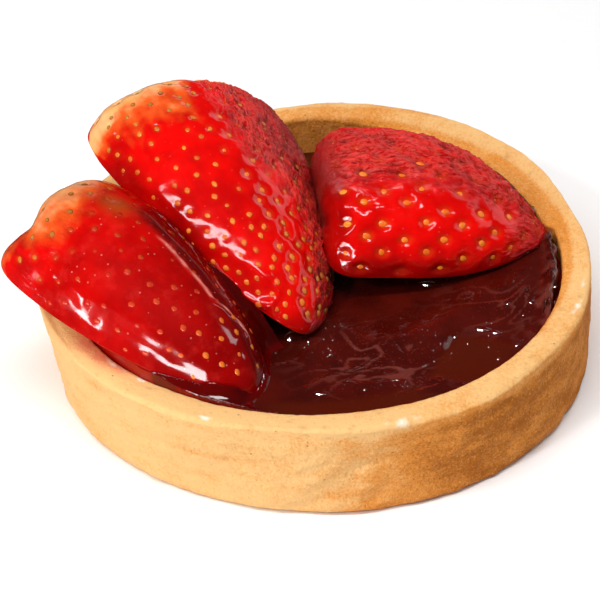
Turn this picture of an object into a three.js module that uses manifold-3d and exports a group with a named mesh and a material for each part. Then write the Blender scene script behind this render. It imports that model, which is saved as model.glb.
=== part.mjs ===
// Chocolate strawberry tartlet: a round shortcrust case with a dark chocolate filling and three
// glazed half strawberries laid on it, cut face down. Millimetres, +Z up, origin at the middle of
// the underside of the case.
import * as THREE from "three";
import { mergeVertices } from "three/addons/utils/BufferGeometryUtils.js";
import Module from "manifold-3d";

const wasm = await Module();
wasm.setup();

// The pastry case.
const RIM_RADIUS = 40;
const FOOT_RADIUS = 39.75;
const CASE_HEIGHT = 15.5;
const WALL = 4.0;
const FLOOR = 4.0;
const FOOT_ROUND = 1.3;
const RIM_ROUND = 0.5;
const CORNER_ROUND = 1.2;
const RIM_SHIFT = -0.65;
const OVAL = -0.005;
const LOBE = 0.0194;
const LOBE_TURN = 221;
const DENT_HEIGHT = 0.16;
const DENTS_WIDE = 7;
const DENTS_NARROW = 13;
const DENT_SLANT = 0.25;
const THICK_EXTRA = 1.3;
const THICK_FROM = 6;
const THICK_TO = 62;
const THICK_START = 3;
const THICK_END = 30;
const CASE_SEGMENTS = 72;

// The chocolate filling.
const FILL_LEVEL = 14.0;
const FILL_DROP = 5.6;
const DROP_HEADING = 110;
const DROP_START = 12;
const DROP_END = 33;
const SWIRL_HEIGHT = 0.22;
const SWIRL_ACROSS = 0.34;
const SWIRL_ALONG = 0.41;
const SWIRL_TURN = 0.12;
const LIP_HEIGHT = 1.1;
const LIP_WIDTH = 3.2;
const CRACK_WIDTH = 1.0;
const CRACK_FROM = -24;
const CRACK_TO = 9;
const CRACK_FADE = 8;
const FILL_RINGS = 6;

// Clearance between the filling and the case, and round each strawberry.
const GAP = 0.3;
const BERRY_GAP = 0.45;

// The strawberry halves: length, half width, height, place of the widest section, bluntness of
// the stem end, the two powers of the taper, sideways bend, skew of the stem end, middle point,
// turns in degrees, the corner and notch that the cut across the stem end has left, and the
// length of a seed.
const STRAWBERRIES = {
  strawberry_left: {
    length: 42.2, halfWidth: 11.9, height: 13.1, widest: 0.31, blunt: 3.8, taper: 1.39, tip: 1.93,
    bend: 0, skew: -0.075, at: [-27.6, -11.8, 17.2], yaw: -45.9, pitch: 10.2, roll: -11.8,
    corner: 1.2, notch: 1.0, seedLength: 1.25, seed: 11,
  },
  strawberry_middle: {
    length: 48.2, halfWidth: 17.1, height: 13.2, widest: 0.235, blunt: 3.4, taper: 1.22, tip: 1.81,
    bend: 0, skew: 0.046, at: [-14.4, 6.9, 19.0], yaw: -66.8, pitch: 7.5, roll: -25.4,
    corner: 0, notch: 0.4, seedLength: 1.2, seed: 23,
  },
  strawberry_right: {
    length: 35.3, halfWidth: 14.7, height: 11.6, widest: 0.3, blunt: 5.2, taper: 2.33, tip: 1.0,
    bend: -8.8, skew: -0.05, at: [13.4, 4.2, 16.4], yaw: 1.1, pitch: 9.6, roll: 2.1,
    corner: 0, notch: 0.5, seedLength: 1.45, seed: 37,
  },
};
const STEM_SHARE = 0.4;
const CUT_EDGE = 0.7;
const CUT_EDGE_POWER = 6;
const STEM_REACH = 0.16;
const CORNER_AT = 180;
const CORNER_SPREAD = 20;
const NOTCH_AT = 138;
const NOTCH_SPREAD = 15;
const BERRY_RINGS = 18;
const BERRY_SIDES = 24;

// The seeds on the skin of the strawberries, in rows that are shifted by turns.
const SEED_WIDTH = 0.68;
const SEED_HEIGHT = 0.62;
const SEED_SPACING = 4.9;
const SEED_SINK = 0.05;
const ROW_PITCH = 0.8;
const ROW_SHIFT = 0.22;
const SEED_JITTER = 0.16;
const SEED_EDGE = 0.09;
const SEED_FIRST = 0.035;
const SEED_LAST = 0.97;

const radians = THREE.MathUtils.degToRad;
const smooth = THREE.MathUtils.smoothstep;

// A seeded draw between -1 and 1.
function dice(seed) {
  let state = seed * 7919;
  return () => {
    state = (state * 1103515245 + 12345) % 2147483648;
    return (state / 2147483648) * 2 - 1;
  };
}

function solidOf(geometry) {
  const bare = geometry.clone();
  bare.deleteAttribute("normal");
  bare.deleteAttribute("uv");
  const merged = mergeVertices(bare, 1e-4);
  return new wasm.Manifold(new wasm.Mesh({
    numProp: 3,
    vertProperties: merged.attributes.position.array,
    triVerts: new Uint32Array(merged.index.array),
  }));
}

function geometryOf(solid) {
  const mesh = solid.getMesh();
  const geometry = new THREE.BufferGeometry();
  geometry.setAttribute("position", new THREE.BufferAttribute(mesh.vertProperties, 3));
  geometry.setIndex(new THREE.BufferAttribute(mesh.triVerts, 1));
  const faceted = geometry.toNonIndexed();
  faceted.computeVertexNormals();
  return faceted;
}

// The largest of the bodies that a cut has left.
function mainBody(solid) {
  return solid.decompose().reduce((a, b) => (b.volume() > a.volume() ? b : a));
}

// Moves every vertex of a geometry to the point that the given function returns for it.
function reshape(geometry, move) {
  const position = geometry.attributes.position;
  const point = new THREE.Vector3();
  for (let i = 0; i < position.count; i += 1) {
    point.fromBufferAttribute(position, i);
    move(point);
    position.setXYZ(i, point.x, point.y, point.z);
  }
  return geometry;
}

// Moves a point out from the axis by a share of its radius.
function widen(point, share) {
  point.x *= 1 + share;
  point.y *= 1 + share;
}

// 1 between two angles in degrees, fading to 0 over the given number of degrees outside them.
function between(angle, from, to, fadeIn, fadeOut) {
  return smooth(angle, from - fadeIn, from) * (1 - smooth(angle, to, to + fadeOut));
}

// The case isn't quite round: it is a little oval, has three soft lobes, and leans sideways.
function outOfRound(point) {
  const angle = Math.atan2(point.y, point.x);
  const lobe = LOBE * Math.cos(3 * angle - radians(LOBE_TURN));
  const scale = 1 + OVAL * Math.cos(2 * angle) + lobe;
  point.x = point.x * scale + (RIM_SHIFT * point.z) / CASE_HEIGHT;
  point.y *= scale;
}

// The wall is thicker at the back right, most at its inner edge, and not at all outside.
function thickenWall(point) {
  const angle = THREE.MathUtils.radToDeg(Math.atan2(point.y, point.x));
  const radius = Math.hypot(point.x, point.y);
  const inner = RIM_RADIUS - WALL;
  const share = radius > inner ? 1 - smooth(radius, inner, RIM_RADIUS - 1) : radius / inner;
  const extra = THICK_EXTRA * between(angle, THICK_FROM, THICK_TO, THICK_START, THICK_END) * share;
  if (radius > 0) widen(point, -extra / radius);
}

// Low hand-made dents in the outer wall, none at the foot.
function dentWall(point) {
  const angle = Math.atan2(point.y, point.x);
  const radius = Math.hypot(point.x, point.y);
  if (radius < RIM_RADIUS - WALL / 2) return;
  const wide = Math.sin(DENTS_WIDE * angle + DENT_SLANT * point.z);
  const narrow = Math.sin(DENTS_NARROW * angle - DENT_SLANT * point.z);
  const fade = smooth(point.z, 0, FOOT_ROUND * 2);
  widen(point, (DENT_HEIGHT * (wide + 0.7 * narrow) * fade) / radius);
}

// A quarter circle in the section plane, from one angle to another, in degrees.
function roundCorner(x, z, radius, from, to, steps) {
  const points = [];
  for (let i = 0; i <= steps; i += 1) {
    const angle = radians(from + ((to - from) * i) / steps);
    points.push(new THREE.Vector2(x + radius * Math.cos(angle), z + radius * Math.sin(angle)));
  }
  return points;
}

// Evenly spaced points strictly between two points.
function along(from, to, count) {
  return Array.from({ length: count }, (_, i) => from.clone().lerp(to, (i + 1) / (count + 1)));
}

// A lathe turned upright, so that its axis is +Z.
function turned(profile, segments) {
  return new THREE.LatheGeometry(profile, segments).rotateX(Math.PI / 2);
}

function makeCrust(grow = 0) {
  const inner = RIM_RADIUS - WALL - grow;
  const foot = roundCorner(FOOT_RADIUS - FOOT_ROUND, FOOT_ROUND, FOOT_ROUND, -90, 0, 2);
  const top = CASE_HEIGHT - RIM_ROUND + grow;
  const rimOut = roundCorner(RIM_RADIUS - RIM_ROUND, top, RIM_ROUND, 0, 90, 2);
  const rimIn = roundCorner(inner + RIM_ROUND, top, RIM_ROUND, 90, 180, 2);
  const corner = roundCorner(inner - CORNER_ROUND, FLOOR + CORNER_ROUND, CORNER_ROUND, 0, -90, 2);
  const profile = [
    new THREE.Vector2(0, 0),
    ...foot,
    ...along(foot.at(-1), rimOut[0], 3),
    ...rimOut,
    ...rimIn,
    ...along(rimIn.at(-1), corner[0], 1),
    ...corner,
    new THREE.Vector2(0, FLOOR),
  ];
  const geometry = turned(profile, CASE_SEGMENTS);
  return solidOf(reshape(geometry, (point) => {
    thickenWall(point);
    dentWall(point);
    outOfRound(point);
  }));
}

// Height of the chocolate: level at the front and right, sunk towards the back left, stirred in
// low swirls, and drawn up into a thin lip beside the crack at the right.
function fillHeight(x, y) {
  const heading = radians(DROP_HEADING);
  const back = x * Math.cos(heading) + y * Math.sin(heading);
  const angle = THREE.MathUtils.radToDeg(Math.atan2(y, x));
  const edge = RIM_RADIUS - WALL - LIP_WIDTH;
  const rise = smooth(Math.hypot(x, y), edge, edge + LIP_WIDTH / 2);
  const lip = between(angle, CRACK_FROM, CRACK_TO, CRACK_FADE, CRACK_FADE) * rise;
  const swirl = Math.sin(SWIRL_ACROSS * x + 1) * Math.cos(SWIRL_ALONG * y - SWIRL_TURN * x);
  const drop = smooth(back, DROP_START, DROP_END);
  return FILL_LEVEL - FILL_DROP * drop + SWIRL_HEIGHT * swirl + LIP_HEIGHT * lip;
}

function makeFilling() {
  const edge = RIM_RADIUS - WALL - GAP;
  const bottom = FLOOR + GAP;
  const corner = roundCorner(edge - CORNER_ROUND, bottom + CORNER_ROUND, CORNER_ROUND, -90, 0, 2);
  const rim = new THREE.Vector2(edge, FILL_LEVEL);
  const middle = new THREE.Vector2(0, FILL_LEVEL);
  const profile = [
    new THREE.Vector2(0, bottom),
    ...corner,
    rim,
    ...along(rim, middle, FILL_RINGS),
    middle,
  ];
  const geometry = turned(profile, CASE_SEGMENTS);
  return solidOf(reshape(geometry, (point) => {
    const angle = THREE.MathUtils.radToDeg(Math.atan2(point.y, point.x));
    const radius = Math.hypot(point.x, point.y);
    const top = point.z > FILL_LEVEL - 0.01;
    if (radius > edge - CORNER_ROUND) {
      const crack = CRACK_WIDTH * between(angle, CRACK_FROM, CRACK_TO, CRACK_FADE, CRACK_FADE / 2);
      widen(point, -crack / radius);
    }
    if (top) point.z = fillHeight(point.x, point.y);
    thickenWall(point);
    outOfRound(point);
  }));
}

// Half the width of a strawberry at a share u of its length, as a share of the greatest: one
// superellipse quarter from the stem to the widest section, another from there to the tip.
function berryProfile(berry, u) {
  if (u < 1e-6 || u > 1 - 1e-6) return 0;
  if (u < berry.widest) {
    const w = (berry.widest - u) / berry.widest;
    return (1 - w ** berry.blunt) ** (1 / berry.blunt);
  }
  const w = Math.min(1, (u - berry.widest) / (1 - berry.widest));
  return (1 - w ** berry.taper) ** (1 / berry.tip);
}

// 1 at an angle and at its mirror image in the cut face, falling off beside them like a bell.
function bell(angle, at, spread) {
  return Math.exp(-(((THREE.MathUtils.radToDeg(Math.abs(angle)) - at) / spread) ** 2));
}

// A point of the half strawberry in its own frame, x from the stem to the tip and z up from the
// cut face: angles from 0 to 180 go over the skin, and the rest cross the cut face.
function berryPoint(berry, u, angle, grow = 0) {
  const f = berryProfile(berry, u);
  const side = Math.cos(angle);
  const lift = Math.sin(angle);
  const sink = CUT_EDGE * Math.min(1, 3 * f);
  const spread = grow * Math.min(1, 4 * f);
  const skin = sink + (berry.height * f - sink) * lift;
  const z = lift >= 0
    ? skin + spread * lift
    : sink * side ** CUT_EDGE_POWER + spread * Math.max(-1, 4 * lift);
  const half = side * (berry.halfWidth * f + spread);
  const stem = Math.exp(-((u / STEM_REACH) ** 2)) * Math.min(1, 2 * f);
  const corner = berry.corner * stem * bell(angle, CORNER_AT, CORNER_SPREAD);
  const notch = berry.notch * stem * bell(angle, NOTCH_AT, NOTCH_SPREAD);
  const x = (u - STEM_SHARE) * berry.length + grow * (2 * u - 1) + berry.skew * half * (1 - u);
  const bend = berry.bend * (u - STEM_SHARE) ** 2;
  return new THREE.Vector3(x - corner + notch, half - 0.5 * corner + bend, z);
}

function berryMatrix(berry) {
  const turn = new THREE.Euler(radians(berry.roll), radians(berry.pitch), radians(berry.yaw), "ZYX");
  const matrix = new THREE.Matrix4().makeRotationFromEuler(turn);
  return matrix.setPosition(...berry.at);
}

// A sphere whose poles become the stem and the tip, and whose circles become the half rounds.
function makeBerryBody(berry, grow = 0) {
  const geometry = new THREE.SphereGeometry(1, BERRY_SIDES, BERRY_RINGS).rotateZ(Math.PI / 2);
  reshape(geometry, (point) => {
    const u = (1 + point.x) / 2;
    point.copy(berryPoint(berry, u, Math.atan2(point.z, point.y), grow));
  });
  return solidOf(geometry.applyMatrix4(berryMatrix(berry)));
}

// Length of the skin from edge to edge across the half strawberry at u.
function skinSpan(berry, u) {
  const steps = 12;
  let span = 0;
  for (let i = 0; i < steps; i += 1) {
    const a = berryPoint(berry, u, (Math.PI * i) / steps);
    span += a.distanceTo(berryPoint(berry, u, (Math.PI * (i + 1)) / steps));
  }
  return span;
}

// Places of the seeds: rows across the skin, one row height apart along it, each row shifted by
// half a spacing from the last, with a small seeded scatter.
function seedPlaces(berry) {
  const draw = dice(berry.seed);
  const rows = Math.round(berry.length / (SEED_SPACING * ROW_PITCH));
  const places = [];
  for (let row = 0; row < rows; row += 1) {
    const u = SEED_FIRST + ((SEED_LAST - SEED_FIRST) * (row + 0.5)) / rows;
    const count = Math.max(1, Math.round((skinSpan(berry, u) * (1 - 2 * SEED_EDGE)) / SEED_SPACING));
    for (let i = 0; i < count; i += 1) {
      const shift = row % 2 ? ROW_SHIFT : -ROW_SHIFT;
      const share = (i + 0.5 + shift + SEED_JITTER * draw()) / count;
      const across = SEED_EDGE + (1 - 2 * SEED_EDGE) * share;
      places.push({ u: u + (SEED_JITTER * draw()) / rows, angle: Math.PI * across });
    }
  }
  return places;
}

// A seed lies along the strawberry, half sunk in the skin.
function makeSeed(berry, place) {
  const step = 0.01;
  const here = berryPoint(berry, place.u, place.angle);
  const ahead = berryPoint(berry, place.u + step, place.angle).sub(here).normalize();
  const beside = berryPoint(berry, place.u, place.angle - step).sub(here).normalize();
  const normal = ahead.clone().cross(beside).negate().normalize();
  const across = normal.clone().cross(ahead);
  const frame = new THREE.Matrix4().makeBasis(ahead, across, normal);
  frame.setPosition(here.addScaledVector(normal, -SEED_SINK));
  return new THREE.SphereGeometry(0.5, 5, 3)
    .rotateZ(Math.PI / 2)
    .scale(berry.seedLength, berry.seedLength * SEED_WIDTH, SEED_HEIGHT)
    .applyMatrix4(frame)
    .applyMatrix4(berryMatrix(berry));
}

function isClear(solid, others) {
  return others.every((other) => solid.intersect(other).volume() < 1e-6);
}

// The seeds are joined to the body, without those that would touch a neighbour.
function addSeeds(body, berry, neighbours) {
  const seeds = seedPlaces(berry)
    .map((place) => solidOf(makeSeed(berry, place)))
    .filter((seed) => isClear(seed, neighbours));
  return mainBody(wasm.Manifold.union([body, ...seeds]));
}

const material = (name, color, roughness) =>
  new THREE.MeshStandardMaterial({ name, color, roughness, metalness: 0 });
const pastry = () => material("shortcrust", 0xe3ad66, 0.8);
const chocolate = () => material("dark_chocolate", 0x35100a, 0.2);
const fruit = () => material("glazed_strawberry", 0xc8140c, 0.18);

function addMesh(group, name, solid, finish) {
  const mesh = new THREE.Mesh(geometryOf(solid), finish);
  mesh.name = name;
  group.add(mesh);
}

const { strawberry_left, strawberry_middle, strawberry_right } = STRAWBERRIES;
const grown = {
  crust: makeCrust(BERRY_GAP),
  left: makeBerryBody(strawberry_left, BERRY_GAP),
  middle: makeBerryBody(strawberry_middle, BERRY_GAP),
  right: makeBerryBody(strawberry_right, BERRY_GAP),
};
const crust = makeCrust();
const filling = makeFilling();
const berries = [grown.left, grown.middle, grown.right];
const sunkFilling = berries.reduce((rest, berry) => rest.subtract(berry), filling);
const left = makeBerryBody(strawberry_left).subtract(grown.crust).subtract(grown.middle);
const middle = makeBerryBody(strawberry_middle).subtract(grown.crust);
const right = makeBerryBody(strawberry_right).subtract(grown.crust).subtract(grown.middle);
const bed = [grown.crust, filling];

const tartlet = new THREE.Group();
addMesh(tartlet, "crust", crust, pastry());
addMesh(tartlet, "chocolate_filling", mainBody(sunkFilling), chocolate());
addMesh(tartlet, "strawberry_left",
  addSeeds(left, strawberry_left, [...bed, grown.middle]), fruit());
addMesh(tartlet, "strawberry_middle",
  addSeeds(middle, strawberry_middle, [...bed, grown.left, grown.right]), fruit());
addMesh(tartlet, "strawberry_right",
  addSeeds(right, strawberry_right, [...bed, grown.middle]), fruit());

export default tartlet;
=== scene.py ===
"""Chocolate strawberry tartlet: the pastry case, the dark chocolate filling and the glazed strawberry
halves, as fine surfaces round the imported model. Sizes here are in millimetres and go into the meshes
in metres."""

import math

import bpy
import numpy as np
from bpy.props import FloatProperty, FloatVectorProperty, IntProperty, PointerProperty
from mathutils import Matrix, Vector


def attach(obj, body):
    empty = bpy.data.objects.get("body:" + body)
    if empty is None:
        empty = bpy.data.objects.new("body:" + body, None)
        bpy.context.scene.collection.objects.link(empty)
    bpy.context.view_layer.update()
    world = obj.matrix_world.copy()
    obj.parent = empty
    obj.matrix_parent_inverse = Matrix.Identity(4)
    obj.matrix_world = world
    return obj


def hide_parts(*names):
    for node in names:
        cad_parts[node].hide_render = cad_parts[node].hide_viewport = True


bl_info = {
    "name": "Chocolate strawberry tartlet",
    "version": (1, 0, 0),
    "blender": (4, 5, 0),
    "location": "View3D > Sidebar > Tartlet",
    "description": "Builds a pastry case with chocolate and glazed strawberry halves",
    "category": "Object",
}

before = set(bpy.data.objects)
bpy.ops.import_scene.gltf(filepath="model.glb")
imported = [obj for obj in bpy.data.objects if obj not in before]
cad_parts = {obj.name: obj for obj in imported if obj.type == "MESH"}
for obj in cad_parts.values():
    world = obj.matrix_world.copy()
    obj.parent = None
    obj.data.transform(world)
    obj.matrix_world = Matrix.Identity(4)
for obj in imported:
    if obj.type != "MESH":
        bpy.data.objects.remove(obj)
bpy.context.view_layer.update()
MM = 0.001
NOISE_VALUES, NOISE_FACTORS = 4096, (73856093, 19349663, 83492791)

# The pastry case: its section, how far it is out of round, its dents, the stretch where its wall is
# thicker, how far the rim's edges sink, where its outer face begins, and a ring of points on it.
RIM_RADIUS, FOOT_RADIUS, CASE_HEIGHT = 40.0, 39.75, 15.5
WALL, FLOOR = 4.0, 4.0
FOOT_ROUND, RIM_ROUND, CORNER_ROUND = 1.3, 0.5, 1.2
RIM_SHIFT, OVAL, LOBE, LOBE_TURN = -0.65, -0.005, 0.0194, 221.0
DENT_HEIGHT, DENTS_WIDE, DENTS_NARROW, DENT_SLANT = 0.16, 7, 13, 0.25
THICK_EXTRA, THICK_FROM, THICK_TO, THICK_START, THICK_END = 1.3, 6, 62, 3, 30
INNER_SINK, INNER_SINK_WIDTH, OUTER_SINK, OUTER_SINK_WIDTH = 1.25, 2.6, 0.26, 1.1
SMEAR_HEIGHT, GROOVE_DEPTH, PORE_DEPTH, PORE_STRETCH = 0.05, 0.13, 0.10, 1.3
OUTER_FACE, WALL_RING = (38.6, 39.4), 40

# Glossy spots of glaze on the rim, which are painted near white as highlights, and stains: radius, angle,
# size across and size along the rim.
RIM_GLAZE_HIGHLIGHTS = (
    (37.4, -140.5, 0.6, 2.0), (36.9, -133.5, 0.4, 0.8), (39.2, -115.9, 0.4, 1.0),
    (39.5, -77.5, 0.55, 2.2), (38.8, -27.0, 0.5, 1.8), (38.5, -19.3, 0.4, 1.5))
RIM_STAIN = ((37.9, -150.5, 1.5, 2.6), (37.6, -145.5, 1.6, 2.6), (37.2, -140.5, 1.0, 2.0))

# The chocolate filling: its level and where it sinks, its swirls, its lip and the crack beside it,
# the smooth sunken patch with the slope of its edges, and a small oval dimple.
FILL_LEVEL, FILL_DROP, DROP_HEADING, DROP_START, DROP_END = 14.0, 5.6, 110.0, 12, 33
SWIRL_HEIGHT, SWIRL_ACROSS, SWIRL_ALONG, SWIRL_TURN = 0.22, 0.34, 0.41, 0.12
LIP_HEIGHT, LIP_WIDTH = 1.1, 3.2
CRACK_WIDTH, CRACK_FROM, CRACK_TO, CRACK_FADE = 1.0, -24, 9, 8
PATCH_AT, PATCH_SLOPE, PATCH_DEPTH = (15.5, -23.3), (0.93, 0.375), 0.34
OVAL_AT, OVAL_SIZE = (1.4, -29.7), (1.5, 0.9)
STREAK_TURN = (0.9, 0.43)

# Bubbles in the chocolate: x, y, size, how many times as long as wide, and the turn in degrees. Each
# is flattened and stands a share of its size below the surface.
BUBBLES = (
    (25.5, -14.4, 0.35, 1.0, 0), (28.8, -14.3, 0.45, 1.0, 0), (25.5, -23.2, 0.35, 1.0, 0),
    (22.6, -25.8, 0.25, 1.0, 0), (2.0, -26.1, 0.35, 1.0, 0), (2.0, -28.6, 0.30, 1.0, 0),
    (4.2, -30.6, 0.25, 1.0, 0), (-2.7, -19.4, 0.25, 1.0, 0), (-4.8, -17.9, 1.25, 1.2, 30),
    (-1.5, -30.5, 0.55, 2.2, -15), (15.0, -8.4, 0.60, 2.4, -15), (21.4, -19.4, 0.60, 2.2, -20),
    (22.9, -20.3, 0.50, 1.8, -35), (17.4, -20.3, 0.30, 1.0, 0), (32.4, -12.6, 0.25, 1.0, 0))
BUBBLE_FLATNESS, BUBBLE_SINK = 0.7, 0.3

# The strawberry halves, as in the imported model: size and profile, bend and skew, place and turn, the
# stem end's corner and notch. Then the seeds: where their scatter starts and how loose it is, their
# pitches and size, an angle that has one, the first ring, and how much closer they get towards the
# tip. The rest is relief: dimple, pit, wrinkles with their net, and grain.
STEM_SHARE, CUT_EDGE, CUT_EDGE_POWER, STEM_REACH = 0.4, 0.7, 6, 0.16
CORNER_AT, CORNER_SPREAD, NOTCH_AT, NOTCH_SPREAD = 180, 20, 138, 15
BERRIES = {
    "strawberry_left": dict(
        length=42.2, half_width=11.9, height=13.1, widest=0.31, blunt=3.8, taper=1.39, tip=1.93,
        bend=0.0, skew=-0.075, at=(-27.6, -11.8, 17.2), yaw=-45.9, pitch=10.2, roll=-11.8,
        corner=1.2, notch=1.0, seed=11, pitch_along=2.75, pitch_across=4.1, seed_size=(1.20, 0.84),
        anchor=96.0, first=0.045, dimple=0.20, pit=0.12, wrinkle=0.10, net=(2.4, 1.1),
        loose=0.22, close=0.25, grain=0.024),
    "strawberry_middle": dict(
        length=48.2, half_width=17.1, height=13.2, widest=0.235, blunt=3.4, taper=1.22, tip=1.81,
        bend=0.0, skew=0.046, at=(-14.4, 6.9, 19.0), yaw=-66.8, pitch=7.5, roll=-25.4,
        corner=0.0, notch=0.4, seed=23, pitch_along=2.45, pitch_across=4.0, seed_size=(1.24, 0.88),
        anchor=141.0, first=0.03, dimple=0.24, pit=0.12, wrinkle=0.36, net=(1.4, 0.62),
        loose=0.24, close=0.42, grain=0.014),
    "strawberry_right": dict(
        length=35.3, half_width=14.7, height=11.6, widest=0.3, blunt=5.2, taper=2.33, tip=1.0,
        bend=-8.8, skew=-0.05, at=(13.4, 4.2, 16.4), yaw=1.1, pitch=9.6, roll=2.1,
        corner=0.0, notch=0.5, seed=37, pitch_along=2.95, pitch_across=5.1, seed_size=(1.55, 1.05),
        anchor=139.0, first=0.055, dimple=0.34, pit=0.18, wrinkle=0.50, net=(2.2, 0.65),
        loose=0.13, close=0.20, grain=0.040),
}
SKIN_SHARE, GLAZE_FILLS = 0.84, 0.82
SEED_THICKNESS, SEED_SWING = 0.42, 0.22

# Lines on the strawberries, as shares of the length and angles in degrees: the left one's crest, the
# run of glaze on the middle one, and the edges where the glaze ends. Each with its height and reach.
CREST, CREST_HEIGHT, CREST_REACH = ((0.50, 86), (0.72, 85), (0.86, 66)), 0.22, 0.30
GLAZE_RUN = ((0.86, 131), (0.91, 134), (0.925, 153), (0.90, 172), (0.84, 177))
RUN_HEIGHT, RUN_REACH, HOOK_HEIGHT, HOOK_REACH = 0.34, 0.80, 0.24, 0.55
DRIP_EDGES = {
    "strawberry_left": ((0.30, 152), (0.42, 160), (0.56, 152), (0.72, 150), (0.86, 148)),
    "strawberry_middle": ((0.40, 171), (0.50, 164), (0.60, 162), (0.67, 170), (0.73, 160), (0.80, 148),
                          (0.90, 132)),
}
DRIP_HEIGHT, DRIP_WIDTH = 0.24, 1.2

# The glaze in the corners: its height field, the pool and the valley as lines of points with their
# reach, a raised ring in the pool, the sheet's points each way and how often it is softened, and the
# points of the strawberries and of the rim that the field is raised to.
FIELD_STEP, FIELD_REACH, FAR_DOWN, FAR_UP = 0.21, 38.5, -1e3, 1e3
POOL_LINE = ((-34, -13), (-30, -22.5), (-24.5, -27), (-17, -30.8), (-9, -32), (-6.5, -28))
VALLEY_LINE = ((-29, 3.0), (-23.9, -3.6), (-17.5, -11.2), (-12.0, -17.5), (-8.5, -22.0))
POOL_REACH, VALLEY_REACH = 3.4, 2.6
RING_AT, RING_STRETCH, RING_RADIUS, RING_WIDTH, RING_HEIGHT = (-14.4, -29.0), 1.3, 1.6, 0.6, 0.44
SHEET_POINTS, SOFTENING, SKIN_POINTS, RIM_POINTS = 291, 10, 600, (22, 1700)

# Colours that the finishes mix in. Several stand for painted light: the shade in pores, dimples, pits,
# creases and at seed rims, the deep red shade, the highlights on glaze spots and the crest, the sheen on
# folds, milky clouds and chocolate smears, and the glints in foam.
CRUMB, BURNT, PORE_SHADE = (0.34, 0.095, 0.008), (0.20, 0.065, 0.012), (0.40, 0.15, 0.03)
STAIN, PAINTED_GLAZE_HIGHLIGHT = (0.93, 0.24, 0.13), (0.99, 0.90, 0.74)
FOAM_AND_SPARKLE, SMEAR_AND_SHEEN = (0.20, 0.028, 0.018), (0.20, 0.042, 0.030)
DIMPLE_SHADE, PIT_HALO_AND_SHADE, CREASE_SHADE = (0.42, 0.002, 0.001), (0.66, 0.040, 0.004), (0.22, 0.001, 0.0008)
DEEP_RED_AND_SHADE, FOLD_SHEEN = (0.20, 0.0006, 0.0006), (0.92, 0.10, 0.07)
ORANGE, PEACH, OLIVE = (0.92, 0.13, 0.018), (0.95, 0.52, 0.24), (0.36, 0.12, 0.012)
MILKY_AND_SHEEN, FOAM_AND_GLINTS, CREST_HIGHLIGHT = (0.95, 0.045, 0.035), (1.0, 0.40, 0.36), (0.95, 0.30, 0.24)
CUT_RED, CUT_PINK = (0.75, 0.20, 0.13), (0.86, 0.48, 0.36)
SEED_YELLOW, SEED_ORANGE, SEED_GRAIN = (0.92, 0.24, 0.020), (0.80, 0.11, 0.006), (0.92, 0.36, 0.06)
SEED_DULL, SEED_OLIVE = (0.45, 0.15, 0.018), (0.40, 0.19, 0.03)
SEED_RIM_AND_SHADE, SEED_GLAZED = (0.20, 0.022, 0.003), (0.58, 0.014, 0.003)
GLAZE_THIN, GLAZE_THICK = (0.38, 0.002, 0.0010), (0.15, 0.001, 0.0008)

# The lights: azimuth and elevation in degrees, distance, width and height in metres, and radiance.
# Then which of them show only as highlights, and which show none.
LIGHTS = {
    "window_left": (-62, 3.5, 0.6, 0.085, 0.11, 34.0),
    "window_front": (-31, 4.2, 0.6, 0.28, 0.09, 29.0),
    "low_left": (-45, 9, 0.6, 0.30, 0.10, 11.5),
    "strip_above": (0, 90, 0.6, 0.82, 0.06, 21.0),
    "panel_back_right": (124, 20, 0.8, 1.15, 0.50, 1.3),
    "band_behind": (180, 6, 0.9, 0.50, 0.16, 0.8),
    "key_front_left": (-52, 42, 0.9, 0.085, 0.085, 80.0),
    "fill_above": (0, 82, 1.2, 1.2, 1.2, 1.15),
    "fill_for_left_strawberry": (-40, 60, 1.2, 1.2, 1.2, 2.0),
    "glint_on_left_strawberry": (100, 35, 0.8, 0.22, 0.22, 6.0),
    "glint_on_glaze": (-110, 82, 0.9, 0.50, 0.36, 19.0),
    "glint_on_right_strawberry": (-46, 9, 0.6, 0.22, 0.13, 17.0),
    "sparkle": (-52, 42, 0.9, 0.42, 0.42, 650.0),
}
LIGHTS_AIM, STRIP_AT = (0, 0, 0.015), (-0.19, -0.13, 0.62)
HIGHLIGHTS_ONLY = ("sparkle", "glint_on_left_strawberry", "glint_on_glaze", "glint_on_right_strawberry",
                   "window_left", "window_front")
NO_HIGHLIGHTS = ("key_front_left", "fill_above", "fill_for_left_strawberry", "low_left")
WORLD_STRENGTH, FLOOR_SIDE = 0.05, 3000.0

# The camera: its place in millimetres, and which way its right and its top point.
CAMERA_AT = (-3.5225, -199.281, 162.2214)
CAMERA_RIGHT, CAMERA_UP = (0.99758896, -0.04281147, -0.05462098), (0.06939938, 0.61539823, 0.78515524)
SENSOR_WIDTH, CLIP_START, CLIP_END = 36.0, 0.01, 10.0


def colour_setting(name, description, default):
    """A colour that a user may change."""
    return FloatVectorProperty(name=name, description=description, default=default,
                               subtype="COLOR", size=3, min=0, max=1)


def size_setting(name, description, default, low, high, unit="NONE"):
    """A size in millimetres that a user may change. Blender's own unit of length is the metre, so
    only the lens has a unit."""
    return FloatProperty(name=name, description=description, default=default, min=low, max=high,
                         unit=unit)


def count_setting(name, description, default, low, high):
    """A count that a user may change."""
    return IntProperty(name=name, description=description, default=default, min=low, max=high)


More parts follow.
